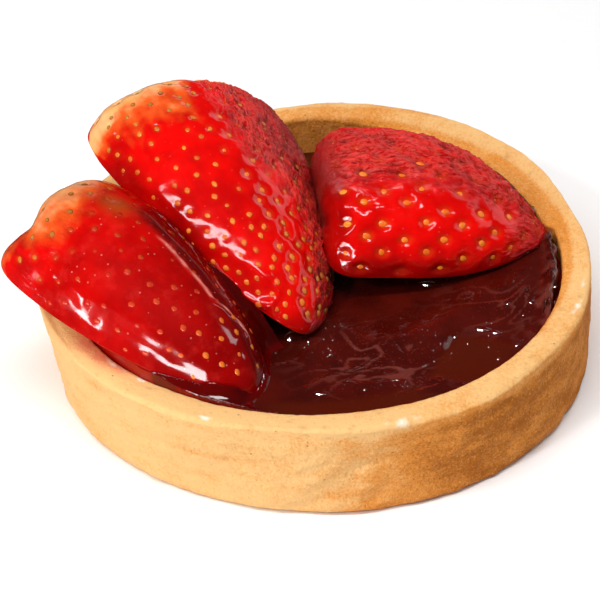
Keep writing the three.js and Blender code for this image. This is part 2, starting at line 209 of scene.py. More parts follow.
class CaseSettings(bpy.types.PropertyGroup):
    """The pastry case: its points, relief and colours."""
    columns: count_setting("Columns", "Points round the case", 520, 64, 520)
    lump: size_setting(
        "Lumps", "Height of the soft lumps of the pressed dough, in millimetres", 0.10, 0.0, 0.5)
    sand: size_setting("Sand", "Height of the sandy grain, in millimetres", 0.05, 0.0, 0.2)
    pores: count_setting("Pores", "Number of small pores", 340, 0, 1000)
    # The crust turns from pale through golden to brown with its baking and with painted shade on its
    # right side.
    pale: colour_setting(
        "Pale crust", "Colour where the crust is least baked", (0.93, 0.55, 0.22))
    golden: colour_setting("Golden crust", "Colour of the baked crust", (0.80, 0.295, 0.048))
    brown: colour_setting(
        "Brown crust", "Colour where the crust is baked most", (0.46, 0.130, 0.008))


class FillingSettings(bpy.types.PropertyGroup):
    """The chocolate: its points, relief, bubbles and colours."""
    columns: count_setting("Columns", "Points round the filling", 560, 64, 560)
    ripple: size_setting(
        "Ripples", "Height of the ripples in the chocolate, in millimetres", 0.22, 0.0, 1.0)
    bubbles: count_setting("Bubbles", "Number of small bubbles", 150, 1, 1000)
    dark: colour_setting("Chocolate", "Colour of the chocolate", (0.044, 0.0022, 0.0010))
    amber: colour_setting(
        "Thin chocolate", "Colour where the chocolate is smooth and thin", (0.074, 0.0058, 0.0010))


class BerrySettings(bpy.types.PropertyGroup):
    """The strawberry halves: their points and colours."""
    rings: count_setting("Rings", "Rings of points from stem to tip", 320, 24, 320)
    columns: count_setting("Columns", "Points round each ring", 300, 24, 300)
    red: colour_setting("Red", "Colour of the ripe skin", (0.82, 0.0022, 0.0012))
    deep: colour_setting("Deep red", "Colour of the ripest skin", (0.55, 0.001, 0.001))
    pale: colour_setting("Pale shoulder", "Colour of the unripe shoulder", (0.93, 0.42, 0.12))


class GlazeSettings(bpy.types.PropertyGroup):
    """The fruit glaze: how round it is where it fills corners."""
    narrow: size_setting(
        "Narrow", "Radius of the glaze in narrow corners, in millimetres", 0.9, 0.3, 3.0)
    wide: size_setting("Wide", "Radius of the glaze on the left, in millimetres", 2.6, 0.5, 5.0)


class StageSettings(bpy.types.PropertyGroup):
    """The floor and the camera."""
    floor: colour_setting("Floor", "Colour of the floor", (0.96, 0.96, 0.96))
    lens: size_setting(
        "Lens", "Focal length of the camera, in millimetres", 101.508, 20.0, 300.0, "CAMERA")


# Shapes

def smooth(values, low, high):
    """0 below low, 1 above high, and an even slope with soft ends between them."""
    t = np.clip((values - low) / (high - low), 0.0, 1.0)
    return t * t * (3.0 - 2.0 * t)


def between(values, low, high, fade_in, fade_out):
    """1 between low and high, fading to 0 over the given widths outside them."""
    return smooth(values, low - fade_in, low) * (1.0 - smooth(values, high, high + fade_out))


def noise(points, size, seed):
    """Random values from -1 to 1 on a cubic lattice of the given size, blended smoothly between
    the eight corners round each point."""
    place = points / np.asarray(size, float)
    cell = np.floor(place).astype(np.int64)
    part = place - cell
    part = part * part * (3.0 - 2.0 * part)
    table = np.random.default_rng(seed).random(NOISE_VALUES) * 2.0 - 1.0
    total = np.zeros(points.shape[:-1])
    for corner in np.ndindex(2, 2, 2):
        key, share = 0, 1.0
        for axis, (step, factor) in enumerate(zip(corner, NOISE_FACTORS)):
            key = key ^ ((cell[..., axis] + step) * factor)
            share = share * (part[..., axis] if step else 1 - part[..., axis])
        total += share * table[key & (NOISE_VALUES - 1)]
    return total


def fractal(points, size, seed, octaves=3):
    """A sum of noises, each half as large and half as high as the one before."""
    size = np.asarray(size, float)
    return sum(noise(points, size / 2 ** n, seed + n) / 2 ** n for n in range(octaves))


def ridges(points, size, seed, octaves=2):
    """Sharp crests, 1 on the zero lines of a noise and falling off to both sides."""
    return sum((1 - 2 * np.abs(noise(points, np.asarray(size, float) / 2 ** n, seed + n))) / 2 ** n
               for n in range(octaves))


def on_plane(x, y):
    """Points of the level plane, for noises that don't change with height."""
    return np.stack([x, y, np.zeros_like(x)], -1)


def unit(vectors):
    """Vectors brought to length 1."""
    return vectors / np.maximum(np.linalg.norm(vectors, axis=-1, keepdims=True), 1e-12)


def normals_of(points):
    """Unit normals of a grid that closes on itself along its second axis: the cross product of
    the differences along the two axes."""
    along = np.gradient(points, axis=0)
    across = np.roll(points, -1, axis=1) - np.roll(points, 1, axis=1)
    return unit(np.cross(across, along))


def warped(points, amount, size, seed):
    """Points moved by noises, one for each axis, so that straight patterns bend."""
    return points + amount * np.stack([noise(points, size, seed + n) for n in range(3)], -1)


def make_mesh(name, points, faces, values=None):
    """A mesh object from points in millimetres and a list of face arrays, each (faces, corners),
    with one number at each point for every named value."""
    mesh = bpy.data.meshes.new(name)
    points = np.asarray(points, float).reshape(-1, 3)
    mesh.vertices.add(len(points))
    mesh.vertices.foreach_set("co", (points * MM).astype(np.float32).ravel())
    loops = np.concatenate([f.ravel() for f in faces]).astype(np.int32)
    corners = np.concatenate([np.full(len(f), f.shape[1]) for f in faces])
    mesh.loops.add(len(loops))
    mesh.loops.foreach_set("vertex_index", loops)
    mesh.polygons.add(len(corners))
    starts = np.concatenate([[0], np.cumsum(corners)[:-1]]).astype(np.int32)
    mesh.polygons.foreach_set("loop_start", starts)
    mesh.polygons.foreach_set("use_smooth", np.ones(len(corners), bool))
    mesh.update(calc_edges=True)
    mesh.validate()
    for key, value in (values or {}).items():
        layer = mesh.attributes.new(key, "FLOAT", "POINT")
        layer.data.foreach_set("value", np.asarray(value, np.float32).ravel())
    piece = bpy.data.objects.new(name, mesh)
    bpy.context.scene.collection.objects.link(piece)
    return piece


def skin_faces(rings, columns):
    """Faces of a closed skin: rings of points between two poles, which come first and last."""
    index = 1 + np.arange(rings * columns).reshape(rings, columns)
    beside = np.roll(index, -1, axis=1)
    quads = np.stack([index[:-1], index[1:], beside[1:], beside[:-1]], -1).reshape(-1, 4)
    last = rings * columns + 1
    top = np.stack([np.zeros(columns, int), index[0], beside[0]], -1)
    end = np.stack([index[-1], np.full(columns, last), beside[-1]], -1)
    return [quads, top, end]


def make_skin(name, points, poles, values=None):
    """A closed skin from a grid of rings and its two poles. Faces are turned outwards."""
    rings, columns = points.shape[:2]
    everything = np.concatenate([[poles[0]], points.reshape(-1, 3), [poles[1]]])
    faces = skin_faces(rings, columns)
    middle = points.reshape(-1, 3).mean(0)
    quads = faces[0]
    a, b, c = (everything[quads[:, i]] for i in (0, 1, 2))
    outward = np.einsum("ij,ij->i", np.cross(b - a, c - b), a - middle).sum()
    if outward < 0:
        faces = [f[:, ::-1] for f in faces]
    spread = {
        key: np.concatenate([[value[0].mean()], value.ravel(), [value[-1].mean()]])
        for key, value in (values or {}).items()
    }
    return make_mesh(name, everything, faces, spread)


def make_sheet(name, points, under, values):
    """A closed body from a grid of points that faces up and one point below it."""
    rows, columns = points.shape[:2]
    index = np.arange(rows * columns).reshape(rows, columns)
    quads = np.stack([index[:-1, :-1], index[1:, :-1], index[1:, 1:], index[:-1, 1:]], -1)
    border = np.concatenate([index[:-1, 0], index[-1, :-1], index[:0:-1, -1], index[0, :0:-1]])
    below = rows * columns
    fan = np.stack([np.roll(border, -1), border, np.full(len(border), below)], -1)
    everything = np.concatenate([points.reshape(-1, 3), [under]])
    spread = {key: np.append(value.ravel(), 0.0) for key, value in values.items()}
    return make_mesh(name, everything, [quads.reshape(-1, 4), fan], spread)


def swept_rings(along, radius, columns, ends):
    """Points of circles round the x axis, each with its place along it and its radius, between
    poles at the two given ends."""
    turn = np.linspace(0, 2 * np.pi, columns, endpoint=False)
    rings = np.stack([np.repeat(along[:, None], columns, 1), radius[:, None] * np.cos(turn),
                      radius[:, None] * np.sin(turn)], -1)
    return np.concatenate([[(ends[0], 0, 0)], rings.reshape(-1, 3), [(ends[1], 0, 0)]])


def repeated_faces(rings, columns, count):
    """Faces of a closed skin, once for each of the bodies whose points follow one another."""
    start = (np.arange(count) * (rings * columns + 2))[:, None, None]
    return [(f[None] + start).reshape(-1, f.shape[1]) for f in skin_faces(rings, columns)]


def fix_outward(piece):
    """Turns a mesh of closed bodies so that its faces point outwards, by its signed volume."""
    mesh = piece.data
    co = np.zeros(len(mesh.vertices) * 3)
    mesh.vertices.foreach_get("co", co)
    co = co.reshape(-1, 3)
    mesh.calc_loop_triangles()
    tris = np.zeros(len(mesh.loop_triangles) * 3, int)
    mesh.loop_triangles.foreach_get("vertices", tris)
    a, b, c = (co[tris.reshape(-1, 3)[:, i]] for i in range(3))
    if np.einsum("ij,ij->i", a, np.cross(b, c)).sum() < 0:
        mesh.flip_normals()


def polar(points):
    """Radius and angle in degrees of points round the upright axis."""
    radius = np.hypot(points[..., 0], points[..., 1])
    return radius, np.degrees(np.arctan2(points[..., 1], points[..., 0]))


def widened(points, scale):
    """Points moved away from the upright axis by a scale at each."""
    return points * np.stack([scale, scale, np.ones_like(scale)], -1)


def thicken_wall(points):
    """Moves points towards the axis at the back right, most at the wall's inner edge."""
    radius, angle = polar(points)
    inner = RIM_RADIUS - WALL
    share = np.where(radius > inner, 1 - smooth(radius, inner, RIM_RADIUS - 1), radius / inner)
    extra = THICK_EXTRA * between(angle, THICK_FROM, THICK_TO, THICK_START, THICK_END) * share
    return widened(points, 1 - extra / np.maximum(radius, 1e-6))


def dent_wall(points):
    """Low hand-made dents in the outer wall, two waves of sines that slant, none at the foot."""
    radius, angle = polar(points)
    wide = np.sin(DENTS_WIDE * np.radians(angle) + DENT_SLANT * points[..., 2])
    narrow = np.sin(DENTS_NARROW * np.radians(angle) - DENT_SLANT * points[..., 2])
    height = DENT_HEIGHT * (wide + 0.7 * narrow) * smooth(points[..., 2], 0, FOOT_ROUND * 2)
    height = height * smooth(radius, RIM_RADIUS - 0.8 * WALL, RIM_RADIUS - 0.2 * WALL)
    return widened(points, 1 + height / np.maximum(radius, 1e-6))


def out_of_round(points):
    """A circle made slightly oval, with three soft lobes, leaning sideways with height."""
    _, angle = polar(points)
    turn = np.radians(angle)
    scale = 1 + OVAL * np.cos(2 * turn) + LOBE * np.cos(3 * turn - math.radians(LOBE_TURN))
    x = points[..., 0] * scale + RIM_SHIFT * points[..., 2] / CASE_HEIGHT
    return np.stack([x, points[..., 1] * scale, points[..., 2]], -1)


def arc(x, z, radius, start, end, count):
    """Points on a circle in the section plane, from one angle to another, in degrees."""
    turn = np.radians(np.linspace(start, end, count))
    return np.stack([x + radius * np.cos(turn), z + radius * np.sin(turn)], -1)


def line(start, end, count):
    """Evenly spaced points strictly between two points of the section plane."""
    t = (np.arange(count) + 1)[:, None] / (count + 1)
    return np.asarray(start) * (1 - t) + np.asarray(end) * t


def revolve(profile, columns):
    """The section turned round the upright axis, as a grid of rings."""
    turn = np.linspace(-np.pi, np.pi, columns, endpoint=False)
    x = profile[:, :1] * np.cos(turn)
    y = profile[:, :1] * np.sin(turn)
    return np.stack([x, y, np.repeat(profile[:, 1:], columns, 1)], -1)


def case_section():
    """The case's section from the middle of the underside, round the foot, up the wall, over the
    rim and down to the middle of the inner floor."""
    inner = RIM_RADIUS - WALL
    top = CASE_HEIGHT - RIM_ROUND
    foot = arc(FOOT_RADIUS - FOOT_ROUND, FOOT_ROUND, FOOT_ROUND, -90, 0, 9)
    rim_out = arc(RIM_RADIUS - RIM_ROUND, top, RIM_ROUND, 0, 90, 8)
    rim_in = arc(inner + RIM_ROUND, top, RIM_ROUND, 90, 180, 8)
    corner = arc(inner - CORNER_ROUND, FLOOR + CORNER_ROUND, CORNER_ROUND, 0, -90, 4)
    return np.concatenate([
        line((0, 0), foot[0], 14), foot, line(foot[-1], rim_out[0], 66), rim_out,
        line(rim_out[-1], rim_in[0], 17), rim_in, line(rim_in[-1], corner[0], 42), corner,
        line(corner[-1], (0, FLOOR), 6)])


def spots(points, places, sizes, stretch):
    """For each place with its size, a soft round bell of height 1; the greatest counts. Only the
    points near a place are worked out. stretch widens the bell sideways."""
    total = np.zeros(points.shape[:-1])
    for place, size in zip(places, sizes):
        reach = 2.2 * size * stretch
        near = np.abs(points - place).max(-1) < reach
        if not near.any():
            continue
        offset = points[near] - place
        up = offset[:, 2] ** 2
        flat = (offset[:, :2] ** 2).sum(-1) / stretch ** 2
        total[near] = np.maximum(total[near], np.exp(-(up + flat) / size ** 2))
    return total


def rim_spots(radius, angle, places):
    """Soft spots on the rim, each given as radius, angle, and its size across and along the rim."""
    total = np.zeros_like(radius)
    for at_radius, at_angle, across, along in places:
        far = ((radius - at_radius) / across) ** 2
        far = far + (np.radians(angle - at_angle) * at_radius / along) ** 2
        total = np.maximum(total, np.exp(-far))
    return total


def case_pores(points, count):
    """Small pores, most in the outer wall and some in the rim, seldom large."""
    draw = np.random.default_rng(5)
    where = draw.uniform(-np.pi, np.pi, count)
    tall = draw.uniform(0.4, CASE_HEIGHT - 0.2, count)
    level = draw.random(count) < 0.28
    reach = np.where(level, RIM_RADIUS - draw.uniform(0.3, WALL, count), RIM_RADIUS)
    tall = np.where(level, CASE_HEIGHT, tall)
    flat = np.stack([reach * np.cos(where), reach * np.sin(where), tall], -1)
    sizes = 0.12 + 0.22 * draw.random(count) ** 3
    return spots(points, out_of_round(dent_wall(thicken_wall(flat))), sizes, PORE_STRETCH)


def case_relief(points, settings):
    """Height of the case's relief along its normal, and its pores: soft lumps, sandy grain, smears
    and grooves left by the ring mould, and small pores."""
    radius, angle = polar(points)
    z = points[..., 2]
    outside = smooth(radius, RIM_RADIUS - 1.6, RIM_RADIUS - 0.6)
    smear = np.stack([np.radians(angle) * RIM_RADIUS, z, radius], -1)
    relief = settings.lump * fractal(points, 7.0, 3, 2)
    relief += settings.sand * fractal(points, 1.4, 9, 3)
    relief += SMEAR_HEIGHT * outside * fractal(smear, (5.5, 1.1, 6.0), 21, 2)
    bent = warped(smear, 1.2, 4.0, 23)
    leaning = np.stack([bent[..., 0] + 0.8 * bent[..., 1], bent[..., 1] - 0.5 * bent[..., 0],
                        bent[..., 2]], -1)
    wall = outside * (1 - smooth(z, CASE_HEIGHT - 3.5, CASE_HEIGHT - 1.2))
    relief -= GROOVE_DEPTH * wall * np.clip(ridges(leaning, (9.0, 3.4, 9.0), 27, 1), 0, 1) ** 5
    rough = 0.13 + 0.09 * between(angle, -85, -35, 25, 25)
    relief += rough * wall * fractal(leaning, (5.0, 2.2, 5.0), 33, 2)
    pores = case_pores(points, settings.pores)
    relief -= PORE_DEPTH * pores
    return relief, pores


def sink_rim(points, radius, angle, z):
    """Rounds off the rim, lowering it by the square of the way from a line near each edge, more at
    the inner edge and most there at the back."""
    edge = np.clip((RIM_RADIUS - WALL + INNER_SINK_WIDTH - radius) / INNER_SINK_WIDTH, 0, 1) ** 2
    back = 0.25 + 0.75 * between(angle, 20, 160, 30, 30)
    points[..., 2] -= INNER_SINK * back * edge * smooth(z, CASE_HEIGHT - 4.0, CASE_HEIGHT)
    edge = np.clip((radius - RIM_RADIUS + OUTER_SINK_WIDTH) / OUTER_SINK_WIDTH, 0, 1.2) ** 2
    points[..., 2] -= OUTER_SINK * edge * smooth(z, CASE_HEIGHT - 2.5, CASE_HEIGHT)
    points[..., 2] = np.clip(points[..., 2], 0.0, CASE_HEIGHT + 0.02)


def case_bake_and_shade(base, radius, angle, z):
    """How brown each place is coloured, from 0 to 1: browner on the right and most on the outer wall
    there below the rim, which is painted shade on the side away from the lights; browner inside the case
    lower down, at the foot and on the rim at the back; paler on top of the rim, a painted light on the
    lit top that is strongest on the right, where it takes the painted shade off again; with clouds of
    noise."""
    inside = smooth(RIM_RADIUS - WALL + 0.9 - radius, 0, 0.9)
    deep = inside * smooth(CASE_HEIGHT - z, 0.2, 4.0)
    # Browner on the right and on the outer wall there: painted shade on the side away from the lights.
    right = between(angle, -62, 60, 42, 70)
    outer = smooth(radius, *OUTER_FACE)
    bake = 0.10 + 0.42 * right + 0.26 * deep
    bake += 0.07 * fractal(base, 12.0, 41, 3) + 0.05 * fractal(base, 2.2, 47, 2)
    bake += 0.12 * smooth(radius, 38.0, 39.4) * fractal(base, (6.0, 6.0, 1.3), 49, 2)
    bake += 0.12 * np.exp(-((z - 0.2) / 0.8) ** 2) * smooth(radius, 37, 39)
    bake += outer * right * 0.30 * smooth(CASE_HEIGHT - z, 0.5, 3.0)
    bake += 0.16 * outer * right * np.clip(fractal(base, (4.0, 4.0, 2.0), 57, 2), -0.5, 1)
    # Paler on top of the rim: painted light on the lit top, most on the right, where it takes off the
    # painted shade.
    top = (1 - smooth(CASE_HEIGHT - z, 0.05, 0.6)) * (1 - inside)
    bake -= (0.16 + 0.16 * right) * top
    bake += 0.30 * between(angle, 85, 135, 25, 30) * (1 - outer) * (1 - deep)
    return np.clip(bake, 0, 1)


def build_case(settings):
    """The pastry case: the section turned round, made out of round, with its relief."""
    base = revolve(case_section(), settings.columns)
    base = out_of_round(dent_wall(thicken_wall(base)))
    normal = normals_of(base)
    if (normal[WALL_RING, :, :2] * base[WALL_RING, :, :2]).sum() < 0:
        normal = -normal
    relief, pores = case_relief(base, settings)
    radius, angle = polar(base)
    z = base[..., 2]
    points = base + normal * (relief * smooth(z, 0.0, 0.8))[..., None]
    sink_rim(points, radius, angle, z)
    on_rim = smooth(z, CASE_HEIGHT - 1.6, CASE_HEIGHT - 0.3)
    # Glossy spots of glaze on the rim, painted near white in the shortcrust as highlights.
    shine = rim_spots(radius, angle, RIM_GLAZE_HIGHLIGHTS) * (0.8 + 0.7 * fractal(base, 1.2, 53, 2)) * on_rim
    piece = make_skin("pastry_case", points, ((0, 0, 0), (0, 0, FLOOR)), {
        "bake": case_bake_and_shade(base, radius, angle, z), "pores": pores,
        "shine": smooth(shine, 0.2, 0.75), "stain": rim_spots(radius, angle, RIM_STAIN) * on_rim})
    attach(piece, "root")
    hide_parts("crust")
    return piece


def berry_profile(berry, u):
    """Half the width at a share u of the length: one superellipse quarter from the stem to the
    widest section, another from there to the tip."""
    widest = berry["widest"]
    w = np.clip((widest - u) / widest, 0, 1)
    stem = (1 - w ** berry["blunt"]) ** (1 / berry["blunt"])
    w = np.clip((u - widest) / (1 - widest), 0, 1)
    tip = (1 - w ** berry["taper"]) ** (1 / berry["tip"])
    return np.where((u < 1e-6) | (u > 1 - 1e-6), 0, np.where(u < widest, stem, tip))


def bell(angle, at, spread):
    """1 at an angle and at its mirror image in the cut face, falling off like a bell."""
    return np.exp(-(((np.degrees(np.abs(angle)) - at) / spread) ** 2))


def berry_local(berry, u, angle):
    """The half strawberry in its own frame, x from stem to tip and z up from the cut face: angles
    from 0 to pi go over the skin, the rest cross the cut face."""
    f = berry_profile(berry, u)
    side, lift = np.cos(angle), np.sin(angle)
    sink = CUT_EDGE * np.minimum(1, 3 * f)
    z = np.where(lift >= 0, sink + (berry["height"] * f - sink) * lift,
                 sink * side ** CUT_EDGE_POWER)
    half = side * berry["half_width"] * f
    stem = np.exp(-((u / STEM_REACH) ** 2)) * np.minimum(1, 2 * f)
    corner = berry["corner"] * stem * bell(angle, CORNER_AT, CORNER_SPREAD)
    notch = berry["notch"] * stem * bell(angle, NOTCH_AT, NOTCH_SPREAD)
    x = (u - STEM_SHARE) * berry["length"] + berry["skew"] * half * (1 - u)
    bend = berry["bend"] * (u - STEM_SHARE) ** 2
    return np.stack([x - corner + notch, half - 0.5 * corner + bend, z], -1)


def berry_turn(berry):
    """The turn of a strawberry, as a three by three matrix."""
    turns = [Matrix.Rotation(math.radians(berry[key]), 3, axis)
             for key, axis in (("yaw", "Z"), ("pitch", "Y"), ("roll", "X"))]
    return np.array(turns[0] @ turns[1] @ turns[2])


def berry_place(berry, local):
    """Points of a strawberry's own frame in the tartlet's frame."""
    return local @ berry_turn(berry).T + np.asarray(berry["at"])


def berry_seeds(berry):
    """Shares and angles of the seeds: rings of them one pitch apart along the berry, closer
    towards the tip, every other ring turned by half a step, with a small seeded scatter."""
    draw = np.random.default_rng(berry["seed"])
    angles, steps = np.linspace(0, np.pi, 25), np.arange(-60, 60)
    loose, places = berry["loose"], []
    u, row = berry["first"], 0
    while u < 0.975:
        close = 1 - berry["close"] * float(smooth(u, 0.40, 0.92))
        ring = berry_local(berry, np.full(len(angles), min(u, 0.985)), angles)
        span = np.linalg.norm(np.diff(ring, axis=0), axis=1).sum()
        step = 180 * berry["pitch_across"] * close / span
        turn = berry["anchor"] + step * (steps + 0.5 * (row % 2))
        turn = turn + draw.uniform(-loose, loose, len(steps)) * step
        pitch = berry["pitch_along"] * close / berry["length"]
        us = u + draw.uniform(-loose, loose, len(steps)) * pitch
        kept = (turn > 5) & (turn < 175) & (us > 0.012) & (us < 0.982)
        places.append(np.stack([us[kept], np.radians(turn[kept])], -1))
        u, row = u + pitch, row + 1
    return np.concatenate(places)


def skin_frames(berry, places):
    """Base point and unit axes, ahead, across and outward, of the skin at shares and angles."""
    u, angle = places[:, 0], places[:, 1]
    step = 0.004
    here = berry_local(berry, u, angle)
    ahead = unit(berry_local(berry, np.minimum(u + step, 0.9995), angle)
                 - berry_local(berry, u - step, angle))
    beside = berry_local(berry, u, angle + step) - berry_local(berry, u, angle - step)
    out = unit(np.cross(ahead, beside))
    if (out[:, 2] * np.sin(angle)).sum() < 0:
        out = -out
    return here, ahead, np.cross(out, ahead), out


def along_path(u, path):
    """Angle of a path at each share u of the length, and 1 between the path's ends, fading to 0."""
    shares, angles = np.array(path).T
    return np.interp(u, shares, angles), between(u, shares[0], shares[-1], 0.06, 0.05)


def left_masks(u, degrees, wander):
    """The left strawberry: a pale shoulder on top with an olive spot, thick glaze but at the stem, darker
    red towards the tip and on its left side, painted shade as deeper red on its right side down into the
    valley, and a painted highlight along the crest on its back."""
    edge = u + 0.05 * wander
    pale = 0.82 * between(degrees, 62, 128, 24, 34) * (1 - smooth(edge, 0.06, 0.28))
    at, inside = along_path(u, CREST)
    deep = 0.60 * smooth(edge, 0.26, 0.58) + 0.28 * smooth(edge, 0.50, 0.85)
    deep = np.maximum(deep, 1.5 * smooth(u, 0.26, 0.40) * (1 - smooth(degrees, 76, 92)))
    deep = np.maximum(deep, 0.60 * smooth(degrees, 100, 132) * smooth(edge, 0.16, 0.32))
    return {
        "pale": np.maximum(pale, 0.8 - smooth(edge, 0.0, 0.12)), "deep": deep,
        "wrinkle": 0.35 - 0.35 * smooth(u, 0.10, 0.36), "glazed": 1.12 * smooth(u, 0.20, 0.38),
        "crest": inside * np.exp(-(((degrees + 1.5 * wander - at) / 1.1) ** 2)),
        "olive": np.exp(-(((edge - 0.27) / 0.05) ** 2) - ((degrees - 90) / 9) ** 2),
        "milky": smooth(u, 0.12, 0.30)}


def middle_masks(u, degrees, wander):
    """The middle strawberry: a pale shoulder in front, wrinkled on the right, glazed on the left, and
    painted shade as deeper red on its right flank, above the cut on both sides and at the very tip."""
    edge = u + 0.05 * wander
    roaming = degrees + 6 * wander
    pale = between(roaming, 118, 178, 18, 4) * (1 - smooth(edge + 0.03 * wander, 0.09, 0.37))
    start = roaming + 1 + 25 * smooth(u, 0.40, 0.70)
    wrinkle = (1 - smooth(start, 88, 102)) * (1 - 0.75 * smooth(u, 0.86, 0.96))
    deep = 0.58 * (1 - smooth(start, 68, 98)) + 0.40 * (1 - smooth(degrees, 38, 66))
    deep = deep * (1 - 0.6 * smooth(u, 0.86, 0.96))
    under = 0.75 * smooth(roaming, 146, 172) * smooth(u, 0.14, 0.34)
    under = under * (1 - 0.55 * smooth(u, 0.62, 0.82))
    return {
        "pale": np.maximum(pale, 0.9 - smooth(edge, 0.0, 0.13)), "wrinkle": wrinkle,
        "glazed": smooth(degrees, 98, 120) * smooth(u, 0.22, 0.40),
        "deep": np.maximum(deep, np.maximum(under, 0.6 * smooth(u, 0.93, 0.985)))}


def right_masks(u, degrees, wander):
    """The right strawberry: wrinkled at the back and near the tip, darker red where it is wrinkled, and
    painted shade as deeper red along its front edge above the cut and at the stem end. Its stem end isn't
    pale."""
    wrinkle = np.maximum(1 - smooth(degrees + 8 * wander, 98, 122), 0.45 * smooth(u, 0.72, 0.9))
    wrinkle = wrinkle * (1 - 0.45 * smooth(u, 0.80, 0.94))
    deep = np.maximum(0.85 * smooth(degrees, 156, 174), 0.26 * wrinkle)
    return {"wrinkle": wrinkle, "deep": np.maximum(deep, 0.8 * (1 - smooth(u, 0.03, 0.12)))}


SKIN_MASKS = {
    "strawberry_left": left_masks,
    "strawberry_middle": middle_masks,
    "strawberry_right": right_masks,
}


def berry_masks(name, local, u, degrees):
    """How pale, wrinkled and thickly glazed the skin is; where it is deeper red, mostly painted shade;
    where it is olive; where it has milky clouds with painted sheen; and where the crest has a painted
    highlight; from the share of the length and the angle, with bounds that wander by a noise."""
    wander = fractal(local, 4.0, 61, 3)
    kinds = ("pale", "wrinkle", "glazed", "deep", "crest", "olive")
    masks = {kind: np.zeros_like(u) for kind in kinds}
    masks["milky"] = 0.25 * smooth(u, 0.1, 0.3)
    masks.update(SKIN_MASKS[name](u, degrees, wander))
    for kind in ("pale", "wrinkle"):
        masks[kind] = np.clip(masks[kind], 0, 1)
    return masks


def mm_per_degree(berry, u, least=0.0):
    """How far one degree goes round the skin, from the profile's share of the half width."""
    return berry["half_width"] * np.clip(berry_profile(berry, u), least, 1) * math.pi / 180


def near_line(x, y, path, reach):
    """1 on a line through the given points, falling off like a bell over the given reach."""
    best = np.full_like(x, 1e9)
    for (ax, ay), (bx, by) in zip(path[:-1], path[1:]):
        t = np.clip(((x - ax) * (bx - ax) + (y - ay) * (by - ay))
                    / ((bx - ax) ** 2 + (by - ay) ** 2), 0, 1)
        best = np.minimum(best, np.hypot(x - ax - t * (bx - ax), y - ay - t * (by - ay)))
    return np.exp(-((best / reach) ** 2))


def run_relief(berry, u, degrees):
    """Height of the glaze that has run down the middle strawberry: a rib along a line of points on
    the unrolled skin, wandering, and a lower one along its hooked end."""
    def unrolled(share, turn):
        """Millimetres along and round the strawberry."""
        return share * berry["length"], (turn - 90) * mm_per_degree(berry, share)
    run = np.array(GLAZE_RUN)
    x, y = unrolled(u, degrees)
    wander = fractal(on_plane(x, y), 1.6, 87, 2)
    run = np.stack(unrolled(run[:, 0], run[:, 1]), -1)
    height = RUN_HEIGHT * (1 + 0.4 * wander) * near_line(x + 0.3 * wander, y, run, RUN_REACH)
    return height + HOOK_HEIGHT * near_line(x, y, run[2:], HOOK_REACH)


def glaze_relief(name, u, degrees):
    """Height of the glaze itself: a sheet that ends in a rounded step along the drip edge, on the
    middle strawberry the glaze that has run, and on the left one a thin wavy crest."""
    berry = BERRIES[name]
    height = np.zeros_like(u)
    if name in DRIP_EDGES:
        at, inside = along_path(u, DRIP_EDGES[name])
        far = (at - degrees) * mm_per_degree(berry, u, 0.05)
        height += DRIP_HEIGHT * inside * smooth(far, -DRIP_WIDTH, DRIP_WIDTH)
    if name == "strawberry_middle":
        height += run_relief(berry, u, degrees)
    if name == "strawberry_left":
        at, inside = along_path(u, CREST)
        waves = 0.35 * np.sin(u * 70) * np.sin(u * 31 + 1)
        far = (degrees - at) * mm_per_degree(berry, u, 0.05) + waves
        height += CREST_HEIGHT * inside * np.exp(-((far / CREST_REACH) ** 2))
    return height


def seed_dimples(berry, local, u):
    """A wide soft dimple round every seed, a bell of the distance, and a small steep pit in the
    seed's own outline, a flat-topped bell."""
    places = berry_seeds(berry)
    here, ahead, across, _ = skin_frames(berry, places)
    dimple, pit = np.zeros_like(u), np.zeros_like(u)
    wide = 0.27 * (berry["pitch_along"] + 0.5 * berry["pitch_across"])
    long, broad = berry["seed_size"]
    for (seed_u, _), point, a, b in zip(places, here, ahead, across):
        near = (np.abs(u - seed_u) * berry["length"] < wide * 2.4)
        near &= np.abs(local - point).max(-1) < wide * 2.6
        offset = local[near] - point
        x, y = offset @ a, offset @ b
        dimple[near] += np.exp(-(offset ** 2).sum(-1) / wide ** 2)
        pit[near] += np.exp(-((x / (long * 0.70)) ** 2 + (y / (broad * 0.78)) ** 2) ** 2)
    return dimple, pit


def crowded_ends(t):
    """Even shares drawn half way towards a cosine's spacing, which is closer at both ends."""
    return 0.5 * t + 0.25 * (1 - np.cos(np.pi * t))


def berry_grid(settings):
    """Shares and angles of a strawberry's grid: rings closer at both ends, more columns on the
    skin than on the cut face, whose angles are negative."""
    t = np.linspace(0, 1, settings.rings + 2)[1:-1]
    skin = round(settings.columns * SKIN_SHARE)
    angle = np.concatenate([
        np.linspace(0, np.pi, skin),
        np.linspace(np.pi, 2 * np.pi, settings.columns - skin + 2)[1:-1]])
    u, angle = np.meshgrid(crowded_ends(t), angle, indexing="ij")
    return u, np.where(angle > np.pi, angle - 2 * np.pi, angle)


